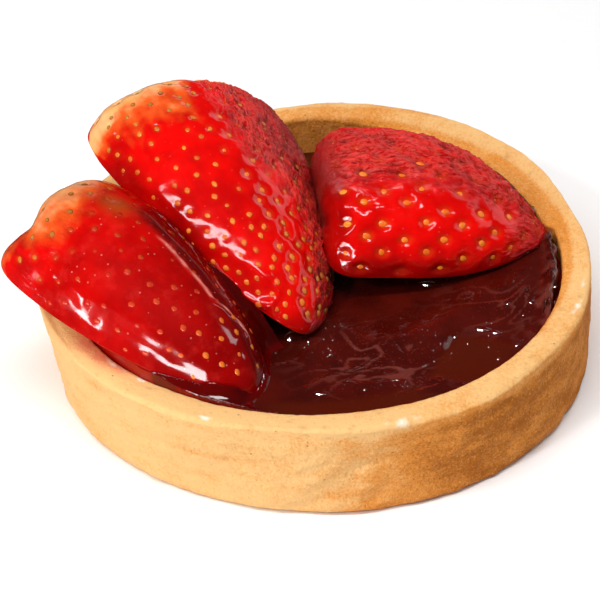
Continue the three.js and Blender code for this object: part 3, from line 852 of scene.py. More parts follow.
def build_berry(name, settings):
    """One glazed strawberry half: the half round with a dimple round every seed, wrinkles and a
    cut face."""
    berry = BERRIES[name]
    u, angle = berry_grid(settings)
    local = berry_local(berry, u, angle)
    normal = normals_of(local)
    if (normal[..., 2] * np.sin(angle)).sum() < 0:
        normal = -normal
    degrees = np.degrees(angle)
    masks = berry_masks(name, local, u, degrees)
    wrinkle, glazed = masks["wrinkle"], masks["glazed"]
    thin = np.clip(1 - glazed, 0, 1)
    bare = 1 - GLAZE_FILLS * glazed
    dimple, pit = seed_dimples(berry, local, u)
    long, broad = berry["net"]
    bent = warped(local, 0.7, 3.2, 65)
    crease = ridges(bent, (long, broad, broad), 71, 2)
    fold = ridges(bent, (long * 2.2, broad * 2.0, broad * 2.0), 75, 2)
    net = 0.55 * crease + 0.6 * fold
    height = -bare * (berry["dimple"] * dimple + berry["pit"] * pit)
    height += berry["wrinkle"] * (0.06 + 0.94 * wrinkle) * thin * (net - 0.35 * dimple)
    height += 0.05 * fractal(local, 6.0, 81, 2) + berry["grain"] * bare * fractal(local, 1.3, 83, 2)
    height += 0.030 * np.clip(glazed, 0, 1) * fractal(local, 2.6, 85, 2)
    height += glaze_relief(name, u, degrees)
    height *= smooth(degrees, 1, 9) * (1 - smooth(degrees, 171, 179))
    height *= smooth(u, 0.0, 0.04) * (1 - smooth(u, 0.975, 1.0))
    points = berry_place(berry, local + normal * height[..., None])
    ends = berry_place(berry, berry_local(berry, np.array([0.0, 1.0]), np.zeros(2)))
    # Colour masks for the skin: deep holds deeper red, mostly painted shade; hollow and dimple give
    # painted shade; crest a painted highlight; milky milky clouds with painted sheen.
    values = {kind: masks[kind] for kind in ("pale", "deep", "crest", "olive", "milky")}
    piece = make_skin(name + "_flesh", points, ends, {
        **values, "cut": smooth(-np.sin(angle), 0.02, 0.35),
        "hollow": wrinkle * smooth(net, 0.75, 0.05), "pit": np.clip(pit, 0, 1) * bare,
        "wrinkle": wrinkle * thin, "dimple": np.clip(dimple, 0, 1) * bare,
        "along": u * berry["length"], "around": angle * berry["half_width"]})
    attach(piece, "root")
    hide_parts(name)
    return piece


def seed_colours(name, u, degrees, glazed, draw):
    """How dim a seed is under the glaze, and how dull, from its place. On the middle strawberry the seeds
    on its right flank are dull as painted shade, like the skin there.
    """
    count = len(u)
    dim, dull = glazed * draw.uniform(0.0, 0.5, count), np.zeros(count)
    if name == "strawberry_left":
        dim = between(u, 0.26, 0.72, 0.10, 0.14) * draw.uniform(0.8, 1.0, count)
        dull = 1 - smooth(u, 0.2, 0.7)
    elif name == "strawberry_middle":
        dull = np.maximum(1 - smooth(u + draw.normal(0, 0.08, count), 0.10, 0.60),
                          1 - smooth(degrees, 85, 105))
    return dim, dull


def build_seeds(name):
    """The seeds of one strawberry: flattened drops, each in its dimple with its point towards the
    tip, joined into one mesh. A drop is a circle swept from end to end."""
    berry = BERRIES[name]
    places = berry_seeds(berry)
    here, ahead, across, out = skin_frames(berry, places)
    count = len(places)
    draw = np.random.default_rng(berry["seed"] + 500)
    rings, columns = 7, 12
    t = (np.arange(rings) + 1) / (rings + 1)
    round_part = np.sin(np.pi * t) ** 0.75 * (1 - 0.28 * (t - 0.4))
    shape = swept_rings(t - 0.5, 0.5 * round_part, columns, (-0.5, 0.5))
    long, broad = berry["seed_size"]
    size = np.stack([
        long * draw.uniform(0.88, 1.1, count), broad * draw.uniform(0.88, 1.1, count),
        SEED_THICKNESS * draw.uniform(0.9, 1.1, count)], -1)
    swing = draw.normal(0, SEED_SWING, count)[:, None]
    axis_x = ahead * np.cos(swing) + across * np.sin(swing)
    axis_y = across * np.cos(swing) - ahead * np.sin(swing)
    u, degrees = places[:, 0], np.degrees(places[:, 1])
    masks = berry_masks(name, here, u, degrees)
    glazed = masks["glazed"]
    sink = (1 - GLAZE_FILLS * glazed) * (berry["dimple"] + berry["pit"])
    lift = draw.uniform(-0.11, -0.02, count) - 0.04 * glazed
    centre = here + out * (glaze_relief(name, u, degrees) - sink + lift)[:, None]
    scaled = shape[None] * size[:, None, :]
    local = (centre[:, None] + scaled[..., :1] * axis_x[:, None]
             + scaled[..., 1:2] * axis_y[:, None] + scaled[..., 2:] * out[:, None])
    dim, dull = seed_colours(name, u, degrees, glazed, draw)
    each = len(shape)
    piece = make_mesh(name + "_seeds", berry_place(berry, local), repeated_faces(rings, columns, count), {
        "tint": np.repeat(draw.random(count), each), "pale": np.repeat(masks["pale"], each),
        "height": np.tile(shape[:, 2] * 2, count), "dim": np.repeat(dim, each),
        "dull": np.repeat(dull * draw.uniform(0.6, 1.0, count), each)})
    fix_outward(piece)
    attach(piece, "root")
    return piece


def fill_height(x, y):
    """Height of the chocolate: level in front, sunk towards the back left, stirred in low swirls
    and drawn up into a lip beside the crack."""
    heading = math.radians(DROP_HEADING)
    back = x * math.cos(heading) + y * math.sin(heading)
    angle = np.degrees(np.arctan2(y, x))
    edge = RIM_RADIUS - WALL - LIP_WIDTH
    rise = smooth(np.hypot(x, y), edge, edge + LIP_WIDTH / 2)
    lip = between(angle, CRACK_FROM, CRACK_TO, CRACK_FADE, CRACK_FADE) * rise
    swirl = np.sin(SWIRL_ACROSS * x + 1) * np.cos(SWIRL_ALONG * y - SWIRL_TURN * x)
    drop = smooth(back, DROP_START, DROP_END)
    return FILL_LEVEL - FILL_DROP * drop + SWIRL_HEIGHT * swirl + LIP_HEIGHT * lip


def smooth_patch(x, y, flat):
    """The smooth sunken patch: a box in slanted directions whose edges wander by a noise."""
    (at_x, at_y), (run, rise) = PATCH_AT, PATCH_SLOPE
    along = (x - at_x) * run - (y - at_y) * rise + 0.5 * noise(flat, 2.5, 93)
    across = (y - at_y) * run + (x - at_x) * rise + 0.6 * noise(flat, 3.0, 94)
    patch = smooth(along, -0.7, 0.6) * (1 - smooth(along, 7.0, 10.5))
    return patch * smooth(across, -6.2, -5.0) * (1 - smooth(across, 3.2, 4.6))


def chocolate_relief(x, y, angle, settings):
    """Height of the chocolate's relief at each place, and how busy, how calm and how smeared the surface
    is, where the smears are lighter lines along the flows that also stand for painted sheen on their
    crests, and the torn edge: flat flows that end in low steps, fine grain, a torn edge by the crack, a
    smooth sunken patch and a small oval dimple."""
    flat = on_plane(x, y)
    warp = flat + 1.6 * np.stack([noise(flat, 5.0, 91), noise(flat, 5.0, 92),
                                  np.zeros_like(x)], -1)
    cosine, sine = STREAK_TURN
    streaked = on_plane(cosine * warp[..., 0] + sine * warp[..., 1],
                        cosine * warp[..., 1] - sine * warp[..., 0])
    flow = fractal(streaked, (10.0, 3.8, 5.0), 95, 3)
    patch = smooth_patch(x, y, flat)
    front = smooth(np.hypot(x, y), 31.5, 33.2) * between(angle, -100, -72, 8, 8)
    calm = np.clip(patch + front, 0, 1)
    busy = np.exp(-(((x - 6.5) / 10.0) ** 2 + ((y + 25.0) / 7.5) ** 2) ** 1.5)
    busy = np.maximum(busy, 0.7 * np.exp(-((x - 25.0) / 8.0) ** 2 - ((y + 15.0) / 6.0) ** 2))
    steps = sum(smooth(flow, level - 0.05, level + 0.05) for level in (-0.5, -0.2, 0.1, 0.4))
    relief = settings.ripple * (0.12 + 0.88 * busy) * (0.55 * steps - 1.1)
    relief += 0.05 * busy * fractal(warp, 0.9, 97, 2) + 0.14 * fractal(flat, 9.0, 99, 2)
    torn = between(angle, CRACK_FROM - 8, CRACK_TO + 4, 8, 8) * smooth(np.hypot(x, y), 31.5, 33.5)
    relief += 0.22 * torn * fractal(flat, 1.3, 105, 2)
    relief = relief * (1 - calm) - PATCH_DEPTH * patch
    oval = np.hypot((x - OVAL_AT[0]) / OVAL_SIZE[0], (y - OVAL_AT[1]) / OVAL_SIZE[1])
    relief += 0.12 * np.exp(-(((oval - 1) / 0.22) ** 2)) - 0.06 * np.exp(-(oval ** 2) * 2)
    # Smears: lighter lines along the flows, painted sheen on their crests, and the lighter torn edge by
    # the crack.
    smear = between(flow, 0.12, 0.24, 0.04, 0.03) + between(flow, -0.50, -0.44, 0.02, 0.04)
    smear = np.maximum(smear * busy * (1 - calm), 0.9 * torn * smooth(noise(flat, 1.1, 107), -0.4, 0.5))
    return relief, busy, calm, smear


def under_berry(name, x, y, z):
    """The chocolate's height where a strawberry lies on it, pressed flat under its cut face."""
    berry = BERRIES[name]
    turn = berry_turn(berry)
    normal = turn[:, 2]
    at = np.asarray(berry["at"])
    plane = at[2] - ((x - at[0]) * normal[0] + (y - at[1]) * normal[1]) / normal[2]
    offset = np.stack([x - at[0], y - at[1], plane - at[2]], -1) @ turn
    u = np.clip(offset[..., 0] / berry["length"] + STEM_SHARE, 0, 1)
    half = berry["half_width"] * berry_profile(berry, u)
    side = np.abs(offset[..., 1] - berry["bend"] * (u - STEM_SHARE) ** 2)
    within = (1 - smooth(side - half, -1.4, -0.3)) * (half > 0.5)
    return z * (1 - within) + np.minimum(z, plane + 0.25) * within


def build_filling(settings):
    """The chocolate: a disc whose top is worked out from height formulas: the level with its swirls
    and lip, the relief, and flat places under the strawberries. A crack parts its side from the
    case on the right."""
    edge = RIM_RADIUS - WALL + 0.03
    bottom = FLOOR + 0.3
    foot = bottom + CORNER_ROUND
    corner = arc(edge - CORNER_ROUND, foot, CORNER_ROUND, -90, 0, 4)
    rim = (edge, FILL_LEVEL)
    base = revolve(np.concatenate([
        line((0, bottom), corner[0], 4), corner, line(corner[-1], rim, 6), [rim],
        line((0, FILL_LEVEL), rim, 146)[::-1]]), settings.columns)
    radius, angle = polar(base)
    ragged = fractal(on_plane(angle, 0 * angle), 3.0, 103, 3)
    crack = CRACK_WIDTH * between(angle, CRACK_FROM, CRACK_TO, CRACK_FADE, CRACK_FADE / 2)
    crack = crack * np.clip(1 + 0.45 * ragged, 0.3, 1.5)
    base = widened(base, np.where(radius > edge - CORNER_ROUND, 1 - crack / np.maximum(radius, 1), 1))
    on_top = base[..., 2] > FILL_LEVEL - 0.01
    level = fill_height(base[..., 0], base[..., 1])
    shaped = out_of_round(thicken_wall(base))
    x, y = shaped[..., 0], shaped[..., 1]
    relief, busy, calm, smear = chocolate_relief(x, y, angle, settings)
    z = level + relief
    for name in BERRIES:
        z = under_berry(name, x, y, z)
    first = int(np.argmax(on_top[:, 0]))
    share = np.clip((shaped[..., 2] - foot) / (FILL_LEVEL - foot), 0, 1)
    side = np.minimum(shaped[..., 2], foot + share * (z[first] - 0.2 - foot))
    shaped[..., 2] = np.where(on_top, np.minimum(z, CASE_HEIGHT + 0.25), side)
    centre = (0.0, 0.0, float(fill_height(np.array(0.0), np.array(0.0))))
    # smear holds lighter smears that also stand for painted sheen.
    piece = make_skin("chocolate", shaped, ((0, 0, bottom), centre), {
        "amber": calm, "busy": busy, "smear": smear})
    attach(piece, "root")
    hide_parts("chocolate_filling")
    return piece


def build_bubbles(settings):
    """Bubbles in the chocolate: flattened balls that show by about a third, some drawn out, with
    many small ones scattered where the surface is busy."""
    draw = np.random.default_rng(77)
    count = settings.bubbles
    turn, far = draw.uniform(0, 2 * np.pi, count), np.sqrt(draw.random(count))
    small = np.stack([
        np.where(draw.random(count) < 0.7, 6.0, 25.0) + 11 * far * np.cos(turn),
        -23.0 + 8 * far * np.sin(turn), draw.uniform(0.05, 0.13, count), np.ones(count),
        np.zeros(count)], -1)
    small = small[np.hypot(small[:, 0], small[:, 1]) < RIM_RADIUS - WALL - 1.5]
    every = np.concatenate([np.array(BUBBLES), small])
    x, y, size, drawn, swing = every.T
    z = fill_height(x, y) + chocolate_relief(x, y, polar(every)[1], settings)[0]
    rings, columns = 9, 14
    t = (np.arange(rings) + 1) / (rings + 1) * np.pi
    ball = swept_rings(np.cos(t), np.sin(t), columns, (1, -1))
    scaled = ball[None] * np.stack([size * drawn, size, BUBBLE_FLATNESS * size], -1)[:, None]
    turn = np.radians(swing)[:, None]
    points = np.stack([
        x[:, None] + scaled[..., 0] * np.cos(turn) - scaled[..., 1] * np.sin(turn),
        y[:, None] + scaled[..., 0] * np.sin(turn) + scaled[..., 1] * np.cos(turn),
        z[:, None] + scaled[..., 2] - BUBBLE_SINK * size[:, None]], -1)
    piece = make_mesh("chocolate_bubbles", points, repeated_faces(rings, columns, len(every)))
    fix_outward(piece)
    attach(piece, "root")
    return piece


def drop_points(field, points, normals, origin, step):
    """Raises a height field to the given surface points, each carried along its own slope to the
    middle of its cell. Points on steep flanks are left out."""
    flat = (normals[..., 2] > 0.12).reshape(-1)
    points, normals = points.reshape(-1, 3)[flat], normals.reshape(-1, 3)[flat]
    cell = np.round((points[:, :2] - origin) / step).astype(int)
    kept = ((cell >= 0) & (cell < np.array(field.shape))).all(1)
    cell, points, normals = cell[kept], points[kept], normals[kept]
    aside = origin + cell * step - points[:, :2]
    height = points[:, 2] - (normals[:, :2] * aside).sum(1) / normals[:, 2]
    np.maximum.at(field, (cell[:, 0], cell[:, 1]), height)


def shifted(field, i, j, fill):
    """A height field moved by whole cells, with a fill value where it runs out."""
    moved = np.full_like(field, fill)
    n, m = field.shape
    moved[max(i, 0):n + min(i, 0), max(j, 0):m + min(j, 0)] = field[
        max(-i, 0):n + min(-i, 0), max(-j, 0):m + min(-j, 0)]
    return moved


def roll_ball(field, radius, step):
    """The height field filled up to where a ball of the given radius rolls over it: raised by the
    ball's height at every offset for its centre, then lowered again the same way."""
    reach = int(radius / step)
    offsets = [(i, j) for i in range(-reach, reach + 1) for j in range(-reach, reach + 1)
               if (i * i + j * j) * step ** 2 <= radius ** 2]
    lifts = [math.sqrt(radius ** 2 - (i * i + j * j) * step ** 2) for i, j in offsets]
    centre = np.full_like(field, FAR_DOWN)
    for (i, j), lift in zip(offsets, lifts):
        centre = np.maximum(centre, shifted(field, i, j, FAR_DOWN) + lift)
    closed = np.full_like(field, FAR_UP)
    for (i, j), lift in zip(offsets, lifts):
        closed = np.minimum(closed, shifted(centre, i, j, FAR_UP) - lift)
    return closed


def soften(field, rounds):
    """A height field averaged with its neighbours a few times."""
    for _ in range(rounds):
        padded = np.pad(field, 1, mode="edge")
        field = (2 * field + padded[:-2, 1:-1] + padded[2:, 1:-1]
                 + padded[1:-1, :-2] + padded[1:-1, 2:]) / 6
    return field


def sample(field, x, y, origin, step):
    """Values of a height field between its cells, blended from the four round each place."""
    i, j = (x - origin[0]) / step, (y - origin[1]) / step
    i = np.clip(i, 0, field.shape[0] - 1.001)
    j = np.clip(j, 0, field.shape[1] - 1.001)
    a, b = i.astype(int), j.astype(int)
    s, t = i - a, j - b
    return ((field[a, b] * (1 - s) + field[a + 1, b] * s) * (1 - t)
            + (field[a, b + 1] * (1 - s) + field[a + 1, b + 1] * s) * t)


def bare_surface(floor, origin):
    """The height field without glaze: the chocolate, with the strawberries and the rim dropped
    onto it."""
    bare = floor.copy()
    t = np.linspace(0.002, 0.998, SKIN_POINTS)
    u, turn = np.meshgrid(crowded_ends(t), np.linspace(0, np.pi, SKIN_POINTS), indexing="ij")
    middle = SKIN_POINTS // 2
    for berry in BERRIES.values():
        skin = berry_place(berry, berry_local(berry, u, turn))
        outward = unit(np.cross(np.gradient(skin, axis=1), np.gradient(skin, axis=0)))
        if outward[middle, middle, 2] < 0:
            outward = -outward
        drop_points(bare, skin, outward, origin, FIELD_STEP)
    across, around = RIM_POINTS
    across_rim = np.linspace(RIM_RADIUS - WALL, RIM_RADIUS - 0.2, across)
    rim = revolve(np.stack([across_rim, np.full(across, CASE_HEIGHT)], -1), around)
    rim = out_of_round(thicken_wall(rim))
    drop_points(bare, rim, np.zeros_like(rim) + (0, 0, 1), origin, FIELD_STEP)
    return bare


def glaze_height(x, y, origin, settings):
    """Height and thickness of the glaze: a small ball's surface, a wide one's in the pool and the
    valley, softened, with a ring in the pool. Where it has nothing to fill, or is outside the pool
    and the valley, it dips under the pieces."""
    angle = polar(on_plane(x, y))[1]
    relief = chocolate_relief(x, y, angle, bpy.context.scene.tartlet_filling)[0]
    floor = fill_height(x, y) + relief
    bare = bare_surface(floor, origin)
    pool = near_line(x, y, POOL_LINE, POOL_REACH)
    valley = near_line(x, y, VALLEY_LINE, VALLEY_REACH)
    wide = np.clip(pool + valley, 0, 1)
    filled = roll_ball(bare, settings.narrow, FIELD_STEP) * (1 - wide)
    filled = soften(filled + roll_ball(bare, settings.wide, FIELD_STEP) * wide, SOFTENING)
    thick = filled - bare
    filled = filled + 0.05 * fractal(on_plane(x, y), 3.0, 111, 2)
    ring = np.hypot((x - RING_AT[0]) / RING_STRETCH, y - RING_AT[1])
    ring = ring + 0.5 * noise(on_plane(x, y), 1.5, 113)
    filled = filled + RING_HEIGHT * np.exp(-(((ring - RING_RADIUS) / RING_WIDTH) ** 2))
    cap = floor - 4.0 + 5.0 * smooth(pool + valley, 0.12, 0.5) + 2.2 * pool + 9.0 * valley
    return np.minimum(filled - 0.8 * (1 - smooth(thick, 0.10, 0.40)), cap), thick


def build_glaze(settings):
    """Fruit glaze that has run into the corners: a sheet over the whole case that takes its height
    from the field. It is a square grid pressed into a disc, with its points closer on the left and
    in front, and its rim is turned down under the chocolate."""
    origin = np.array([-FIELD_REACH, -FIELD_REACH])
    count = int(2 * FIELD_REACH / FIELD_STEP) + 1
    x = origin[0] + FIELD_STEP * np.arange(count)[:, None] + np.zeros((1, count))
    height, thick = glaze_height(x, x.T.copy(), origin, settings)
    v = np.linspace(-1, 1, SHEET_POINTS)
    a, b = (v - 0.3 * (1 - v ** 2))[:, None], (v - 0.25 * (1 - v ** 2))[None, :]
    disc = np.stack([a * np.sqrt(1 - b ** 2 / 2), b * np.sqrt(1 - a ** 2 / 2)], -1)
    edge = RIM_RADIUS - WALL + 0.6
    disc = out_of_round(np.concatenate([disc * edge, np.zeros_like(disc[..., :1])], -1))
    dx, dy = disc[..., 0], disc[..., 1]
    disc[..., 2] = sample(height, dx, dy, origin, FIELD_STEP)
    disc[..., 2] -= 4.0 * smooth(np.maximum(np.abs(a), np.abs(b)), 0.982, 0.999)
    piece = make_sheet("fruit_glaze", disc, (-2.0, -2.0, FLOOR + 0.9), {
        "thick": np.clip(sample(thick, dx, dy, origin, FIELD_STEP) / 1.5, 0, 1)})
    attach(piece, "root")
    return piece


# Materials

def new_group(name, inputs, outputs):
    """A shader node group with named sockets for numbers, and nothing between them yet."""
    group = bpy.data.node_groups.new(name, "ShaderNodeTree")
    for key, value in inputs:
        socket = group.interface.new_socket(key, in_out="INPUT", socket_type="NodeSocketFloat")
        socket.default_value = value
    for key in outputs:
        group.interface.new_socket(key, in_out="OUTPUT", socket_type="NodeSocketFloat")
    group.nodes.new("NodeGroupInput")
    group.nodes.new("NodeGroupOutput")
    return group


class Tree:
    """Short ways to add and join nodes in a material or a group."""

    def __init__(self, tree):
        """Keeps the node tree that it adds to."""
        self.tree = tree
        self.nodes = tree.nodes

    def add(self, kind, values=None, **settings):
        """A node with its settings and the values of its inputs."""
        node = self.nodes.new("ShaderNode" + kind)
        for key, value in settings.items():
            setattr(node, key, value)
        self.fill(node, values or {})
        return node

    def fill(self, node, values):
        """Joins other nodes' sockets to a node's inputs, or sets the inputs to plain values."""
        for key, value in values.items():
            if isinstance(value, bpy.types.NodeSocket):
                self.tree.links.new(value, node.inputs[key])
            else:
                node.inputs[key].default_value = value

    def math(self, operation, a, b, clamp=False):
        """A number worked out from two others."""
        return self.add("Math", {0: a, 1: b}, operation=operation, use_clamp=clamp).outputs[0]

    def plus(self, a, b):
        """a + b."""
        return self.math("ADD", a, b)

    def minus(self, a, b):
        """a - b."""
        return self.math("SUBTRACT", a, b)

    def times(self, a, b):
        """a times b."""
        return self.math("MULTIPLY", a, b)

    def mix(self, share, a, b):
        """Colour a turned to colour b by a share."""
        return self.add("Mix", {0: share, 6: a, 7: b}, data_type="RGBA", blend_type="MIX").outputs[2]

    def tint(self, base, mask, amount, values):
        """The base turned to a plain colour where a mask is, by an amount at most."""
        return self.mix(self.times(mask, amount), base, opaque(values))

    def ramp(self, value, low, high):
        """0 at low and 1 at high, with soft ends between them."""
        values = {0: value, 1: low, 2: high}
        return self.add("MapRange", values, interpolation_type="SMOOTHSTEP").outputs[0]

    def attribute(self, name):
        """A value that the mesh holds at its points."""
        return self.add("Attribute", attribute_name=name).outputs["Fac"]

    def noise(self, scale, detail, rough, vector=None):
        """A noise from 0 to 1, on Object coordinates unless a vector is given."""
        values = {"Scale": scale, "Detail": detail, "Roughness": rough}
        values["Vector"] = vector or self.place()
        return self.add("TexNoise", values).outputs[0]

    def specks(self, scale, size):
        """The specks group with its own scale and size."""
        node = self.add("Group", node_tree=specks_group())
        self.fill(node, {"Scale": scale, "Size": size})
        return node.outputs["Mask"]

    def place(self):
        """The place on the piece, in its own coordinates."""
        return self.add("TexCoord").outputs["Object"]

    def scaled(self, vector, scale):
        """A vector drawn out or pressed together along its axes."""
        return self.add("Mapping", {"Vector": vector, "Scale": scale}).outputs[0]

    def bump(self, height, strength, distance, normal=None):
        """A normal turned by the slope of a height, over another normal if one is given."""
        values = {"Height": height, "Strength": strength, "Distance": distance}
        if normal is not None:
            values["Normal"] = normal
        return self.add("Bump", values).outputs[0]


def opaque(values):
    """Red, green and blue with a full alpha."""
    return (*values, 1.0)


def specks_group():
    """Specks: small round dots in some of the cells of a pattern, as a mask from 0 to 1. The mask
    falls off with the distance from the cell's point. The group is built once and found again."""
    found = bpy.data.node_groups.get("specks")
    if found:
        return found
    group = new_group("specks", (("Scale", 900.0), ("Size", 0.2)), ("Mask",))
    t = Tree(group)
    source, sink = group.nodes[0], group.nodes[1]
    cell = t.add("TexVoronoi", {"Vector": t.place(), "Scale": source.outputs["Scale"]}, feature="F1")
    far = t.math("DIVIDE", cell.outputs["Distance"], source.outputs["Size"])
    near = t.math("SUBTRACT", 1.0, far, clamp=True)
    pick = t.add("SeparateColor", {0: cell.outputs["Color"]})
    chosen = t.math("GREATER_THAN", pick.outputs[0], 0.55)
    t.fill(sink, {"Mask": t.times(near, chosen)})
    return group


def new_material(name):
    """A material, the helper that fills it, and its shader node."""
    material = bpy.data.materials.new(name)
    material.use_nodes = True
    return material, Tree(material.node_tree), material.node_tree.nodes["Principled BSDF"]


def shortcrust(settings):
    """Baked shortcrust: pale to golden to brown by its baking and by painted shade on the right, sandy
    with crumbs and specks, with painted shade in its pores, a stain and a few glossy spots of glaze
    painted near white as highlights."""
    material, t, shader = new_material("shortcrust")
    # bake browns the crust both for its baking and as painted shade on its right side.
    bake = t.attribute("bake")
    fine = t.noise(2300.0, 4.0, 0.75)
    level = t.plus(bake, t.minus(fine, 0.5))
    level = t.plus(level, t.times(t.minus(t.noise(260.0, 4.0, 0.6), 0.5), 0.50))
    base = t.mix(t.ramp(level, 0.05, 0.62), opaque(settings.pale), opaque(settings.golden))
    base = t.mix(t.ramp(level, 0.50, 1.05), base, opaque(settings.brown))
    base = t.tint(base, t.specks(1500.0, 0.26), 0.35, settings.brown)
    base = t.tint(base, t.specks(1150.0, 0.20), 0.45, settings.pale)
    sandy = t.ramp(bake, 0.15, 0.85)
    crumbs = t.times(t.ramp(t.specks(2300.0, 0.42), 0.0, 0.45), sandy)
    base = t.tint(base, crumbs, 0.36, CRUMB)
    light = t.times(t.ramp(t.specks(1900.0, 0.36), 0.0, 0.45), sandy)
    base = t.tint(base, light, 0.22, settings.pale)
    base = t.tint(base, t.specks(560.0, 0.11), 0.9, BURNT)
    # Pores painted darker: painted shade in the holes.
    base = t.tint(base, t.attribute("pores"), 0.35, PORE_SHADE)
    base = t.tint(base, t.attribute("stain"), 0.85, STAIN)
    # Glossy spots of glaze, less rough, and painted near white as highlights.
    shine = t.attribute("shine")
    bump = t.bump(t.noise(1100.0, 3.0, 0.6), 0.7, 0.00034)
    t.fill(shader, {
        "Base Color": t.tint(base, shine, 0.95, PAINTED_GLAZE_HIGHLIGHT),
        "Roughness": t.minus(0.72, t.times(shine, 0.45)), "Specular IOR Level": 0.15,
        "Normal": t.bump(t.minus(fine, t.times(crumbs, 0.4)), 0.8, 0.00026, bump)})
    return material


def dark_chocolate(settings):
    """Glossy dark chocolate: nearly black red-brown in soft clouds, browner on the calm patch, with tiny
    light specks of foam where it is busy, which also stand for painted sparkle, and lighter, duller
    smears, which also hold painted sheen along the flows."""
    material, t, shader = new_material("dark_chocolate")
    lighter = tuple(1.7 * value for value in settings.dark)
    cloud = t.ramp(t.noise(160.0, 3.0, 0.6), 0.35, 0.7)
    base = t.mix(cloud, opaque(settings.dark), opaque(lighter))
    amber, smear = t.attribute("amber"), t.attribute("smear")
    base = t.mix(amber, base, opaque(settings.amber))
    bubbles = t.specks(2300.0, 0.33)
    # Light specks of foam where it is busy, which also stand for painted sparkle.
    share = t.times(bubbles, t.plus(0.06, t.times(t.attribute("busy"), 0.75)))
    base = t.mix(share, base, opaque(FOAM_AND_SPARKLE))
    rough = t.plus(0.05, t.times(t.noise(500.0, 3.0, 0.6), 0.07))
    height = t.plus(t.times(bubbles, 0.6), t.noise(1300.0, 2.0, 0.5))
    # Smears lighter and duller: partly painted sheen along the flows.
    t.fill(shader, {
        "Base Color": t.tint(base, smear, 0.55, SMEAR_AND_SHEEN),
        "Roughness": t.plus(rough, t.times(smear, 0.16)), "IOR": 1.42,
        "Normal": t.bump(t.times(height, t.minus(1.0, amber)), 0.28, 0.00010)})
    return material


def pale_shoulder(t, base, cloud, long_way, settings):
    """The unripe shoulder over the red: orange and then peach, in streaks along the strawberry."""
    pale = t.attribute("pale")
    streak = t.times(t.plus(t.noise(0.45, 2.0, 0.5, long_way), t.noise(420.0, 3.0, 0.6)), 0.5)
    share = t.plus(pale, t.times(t.minus(streak, 0.5), 0.9))
    share = t.times(share, t.ramp(pale, 0.0, 0.12))
    base = t.mix(t.ramp(share, 0.05, 0.75), base, opaque(ORANGE))
    peach = t.mix(t.ramp(cloud, 0.35, 0.65), opaque(settings.pale), opaque(PEACH))
    return t.mix(t.ramp(share, 0.50, 1.05), base, peach)


def strawberry_skin(settings):
    """Ripe strawberry under clear glaze: bright and deep reds in soft clouds and fine streaks, painted
    shade in the dimples, pits and creases, deeper red where the deep mask is, mostly painted shade, an
    orange halo in each pit, a pale shoulder, milky clouds with painted sheen and light specks of foam
    with painted glints under thick glaze, a painted highlight along the crest, painted pink sheen on the
    folds where it is wrinkled, and a cut face of pale flesh."""
    material, t, shader = new_material("glazed_strawberry")
    along = t.attribute("along")
    around = t.add("CombineXYZ", {0: along, 1: t.attribute("around"), 2: 0.0}).outputs[0]
    long_way = t.scaled(around, (0.35, 1.0, 1.0))
    cloud = t.noise(110.0, 3.0, 0.6)
    share = t.plus(t.times(cloud, 0.8), t.times(t.noise(0.5, 2.0, 0.5, long_way), 0.2))
    base = t.mix(t.ramp(share, 0.38, 0.66), opaque(settings.red), opaque(settings.deep))
    # Darker in the dimples round the seeds: painted shade.
    base = t.tint(base, t.attribute("dimple"), 0.16, DIMPLE_SHADE)
    # An orange halo round each seed in its pit, darker too: painted shade in the pit.
    base = t.tint(base, t.attribute("pit"), 0.6, PIT_HALO_AND_SHADE)
    # Deeper red where the deep mask is: painted shade on flanks, edges, above the cut and at tips, and on
    # the left strawberry also a darker red towards its tip and on its left side.
    deep = t.attribute("deep")
    clouded = t.times(deep, t.plus(0.6, t.times(cloud, 0.6)))
    base = t.mix(t.ramp(clouded, 0.0, 1.15), base, opaque(DEEP_RED_AND_SHADE))
    # Darker in the creases of the wrinkles: painted shade.
    base = t.tint(base, t.attribute("hollow"), 0.8, CREASE_SHADE)
    base = pale_shoulder(t, base, cloud, long_way, settings)
    base = t.tint(base, t.attribute("olive"), 0.6, OLIVE)
    # Milky clouds under thick glaze, which also stand for painted sheen.
    milky = t.attribute("milky")
    base = t.tint(base, t.times(milky, t.ramp(t.noise(380.0, 4.0, 0.65), 0.48, 0.75)), 0.22, MILKY_AND_SHEEN)
    # Light specks of foam, which also stand for painted glints.
    base = t.tint(base, t.times(milky, t.specks(950.0, 0.16)), 0.55, FOAM_AND_GLINTS)
    # A pale line along the left strawberry's crest: a painted highlight.
    base = t.tint(base, t.attribute("crest"), 0.75, CREST_HIGHLIGHT)
    flesh = t.mix(t.ramp(t.noise(260.0, 3.0, 0.6), 0.35, 0.7), opaque(CUT_RED), opaque(CUT_PINK))
    base = t.mix(t.attribute("cut"), base, flesh)
    wrinkle = t.attribute("wrinkle")
    # Painted pink sheen on the crests of the folds where the skin is wrinkled, less where it is in
    # painted shade; the folds also bump the normal.
    fold = t.noise(1.0, 4.0, 0.62, t.scaled(around, (0.55, 1.5, 1.0)))
    fold = t.times(t.ramp(t.math("ABSOLUTE", t.minus(fold, 0.5), 0.0), 0.22, 0.0), wrinkle)
    tint = t.minus(0.36, t.times(deep, 0.30))
    rough = t.plus(0.06, t.times(wrinkle, 0.14))
    grain = t.times(t.noise(1700.0, 3.0, 0.6), t.plus(0.06, wrinkle))
    bump = t.bump(t.times(fold, t.minus(1.0, t.attribute("pale"))), 0.9, 0.00028)
    t.fill(shader, {
        "Base Color": t.mix(t.times(t.ramp(fold, 0.66, 1.0), tint), base, opaque(FOLD_SHEEN)),
        "Roughness": t.plus(rough, t.times(t.noise(700.0, 3.0, 0.6), 0.05)), "IOR": 1.40,
        "Subsurface Weight": 0.10, "Subsurface Radius": (1.0, 0.10, 0.05),
        "Subsurface Scale": 0.0010, "Normal": t.bump(grain, 0.45, 0.00012, bump)})
    return material


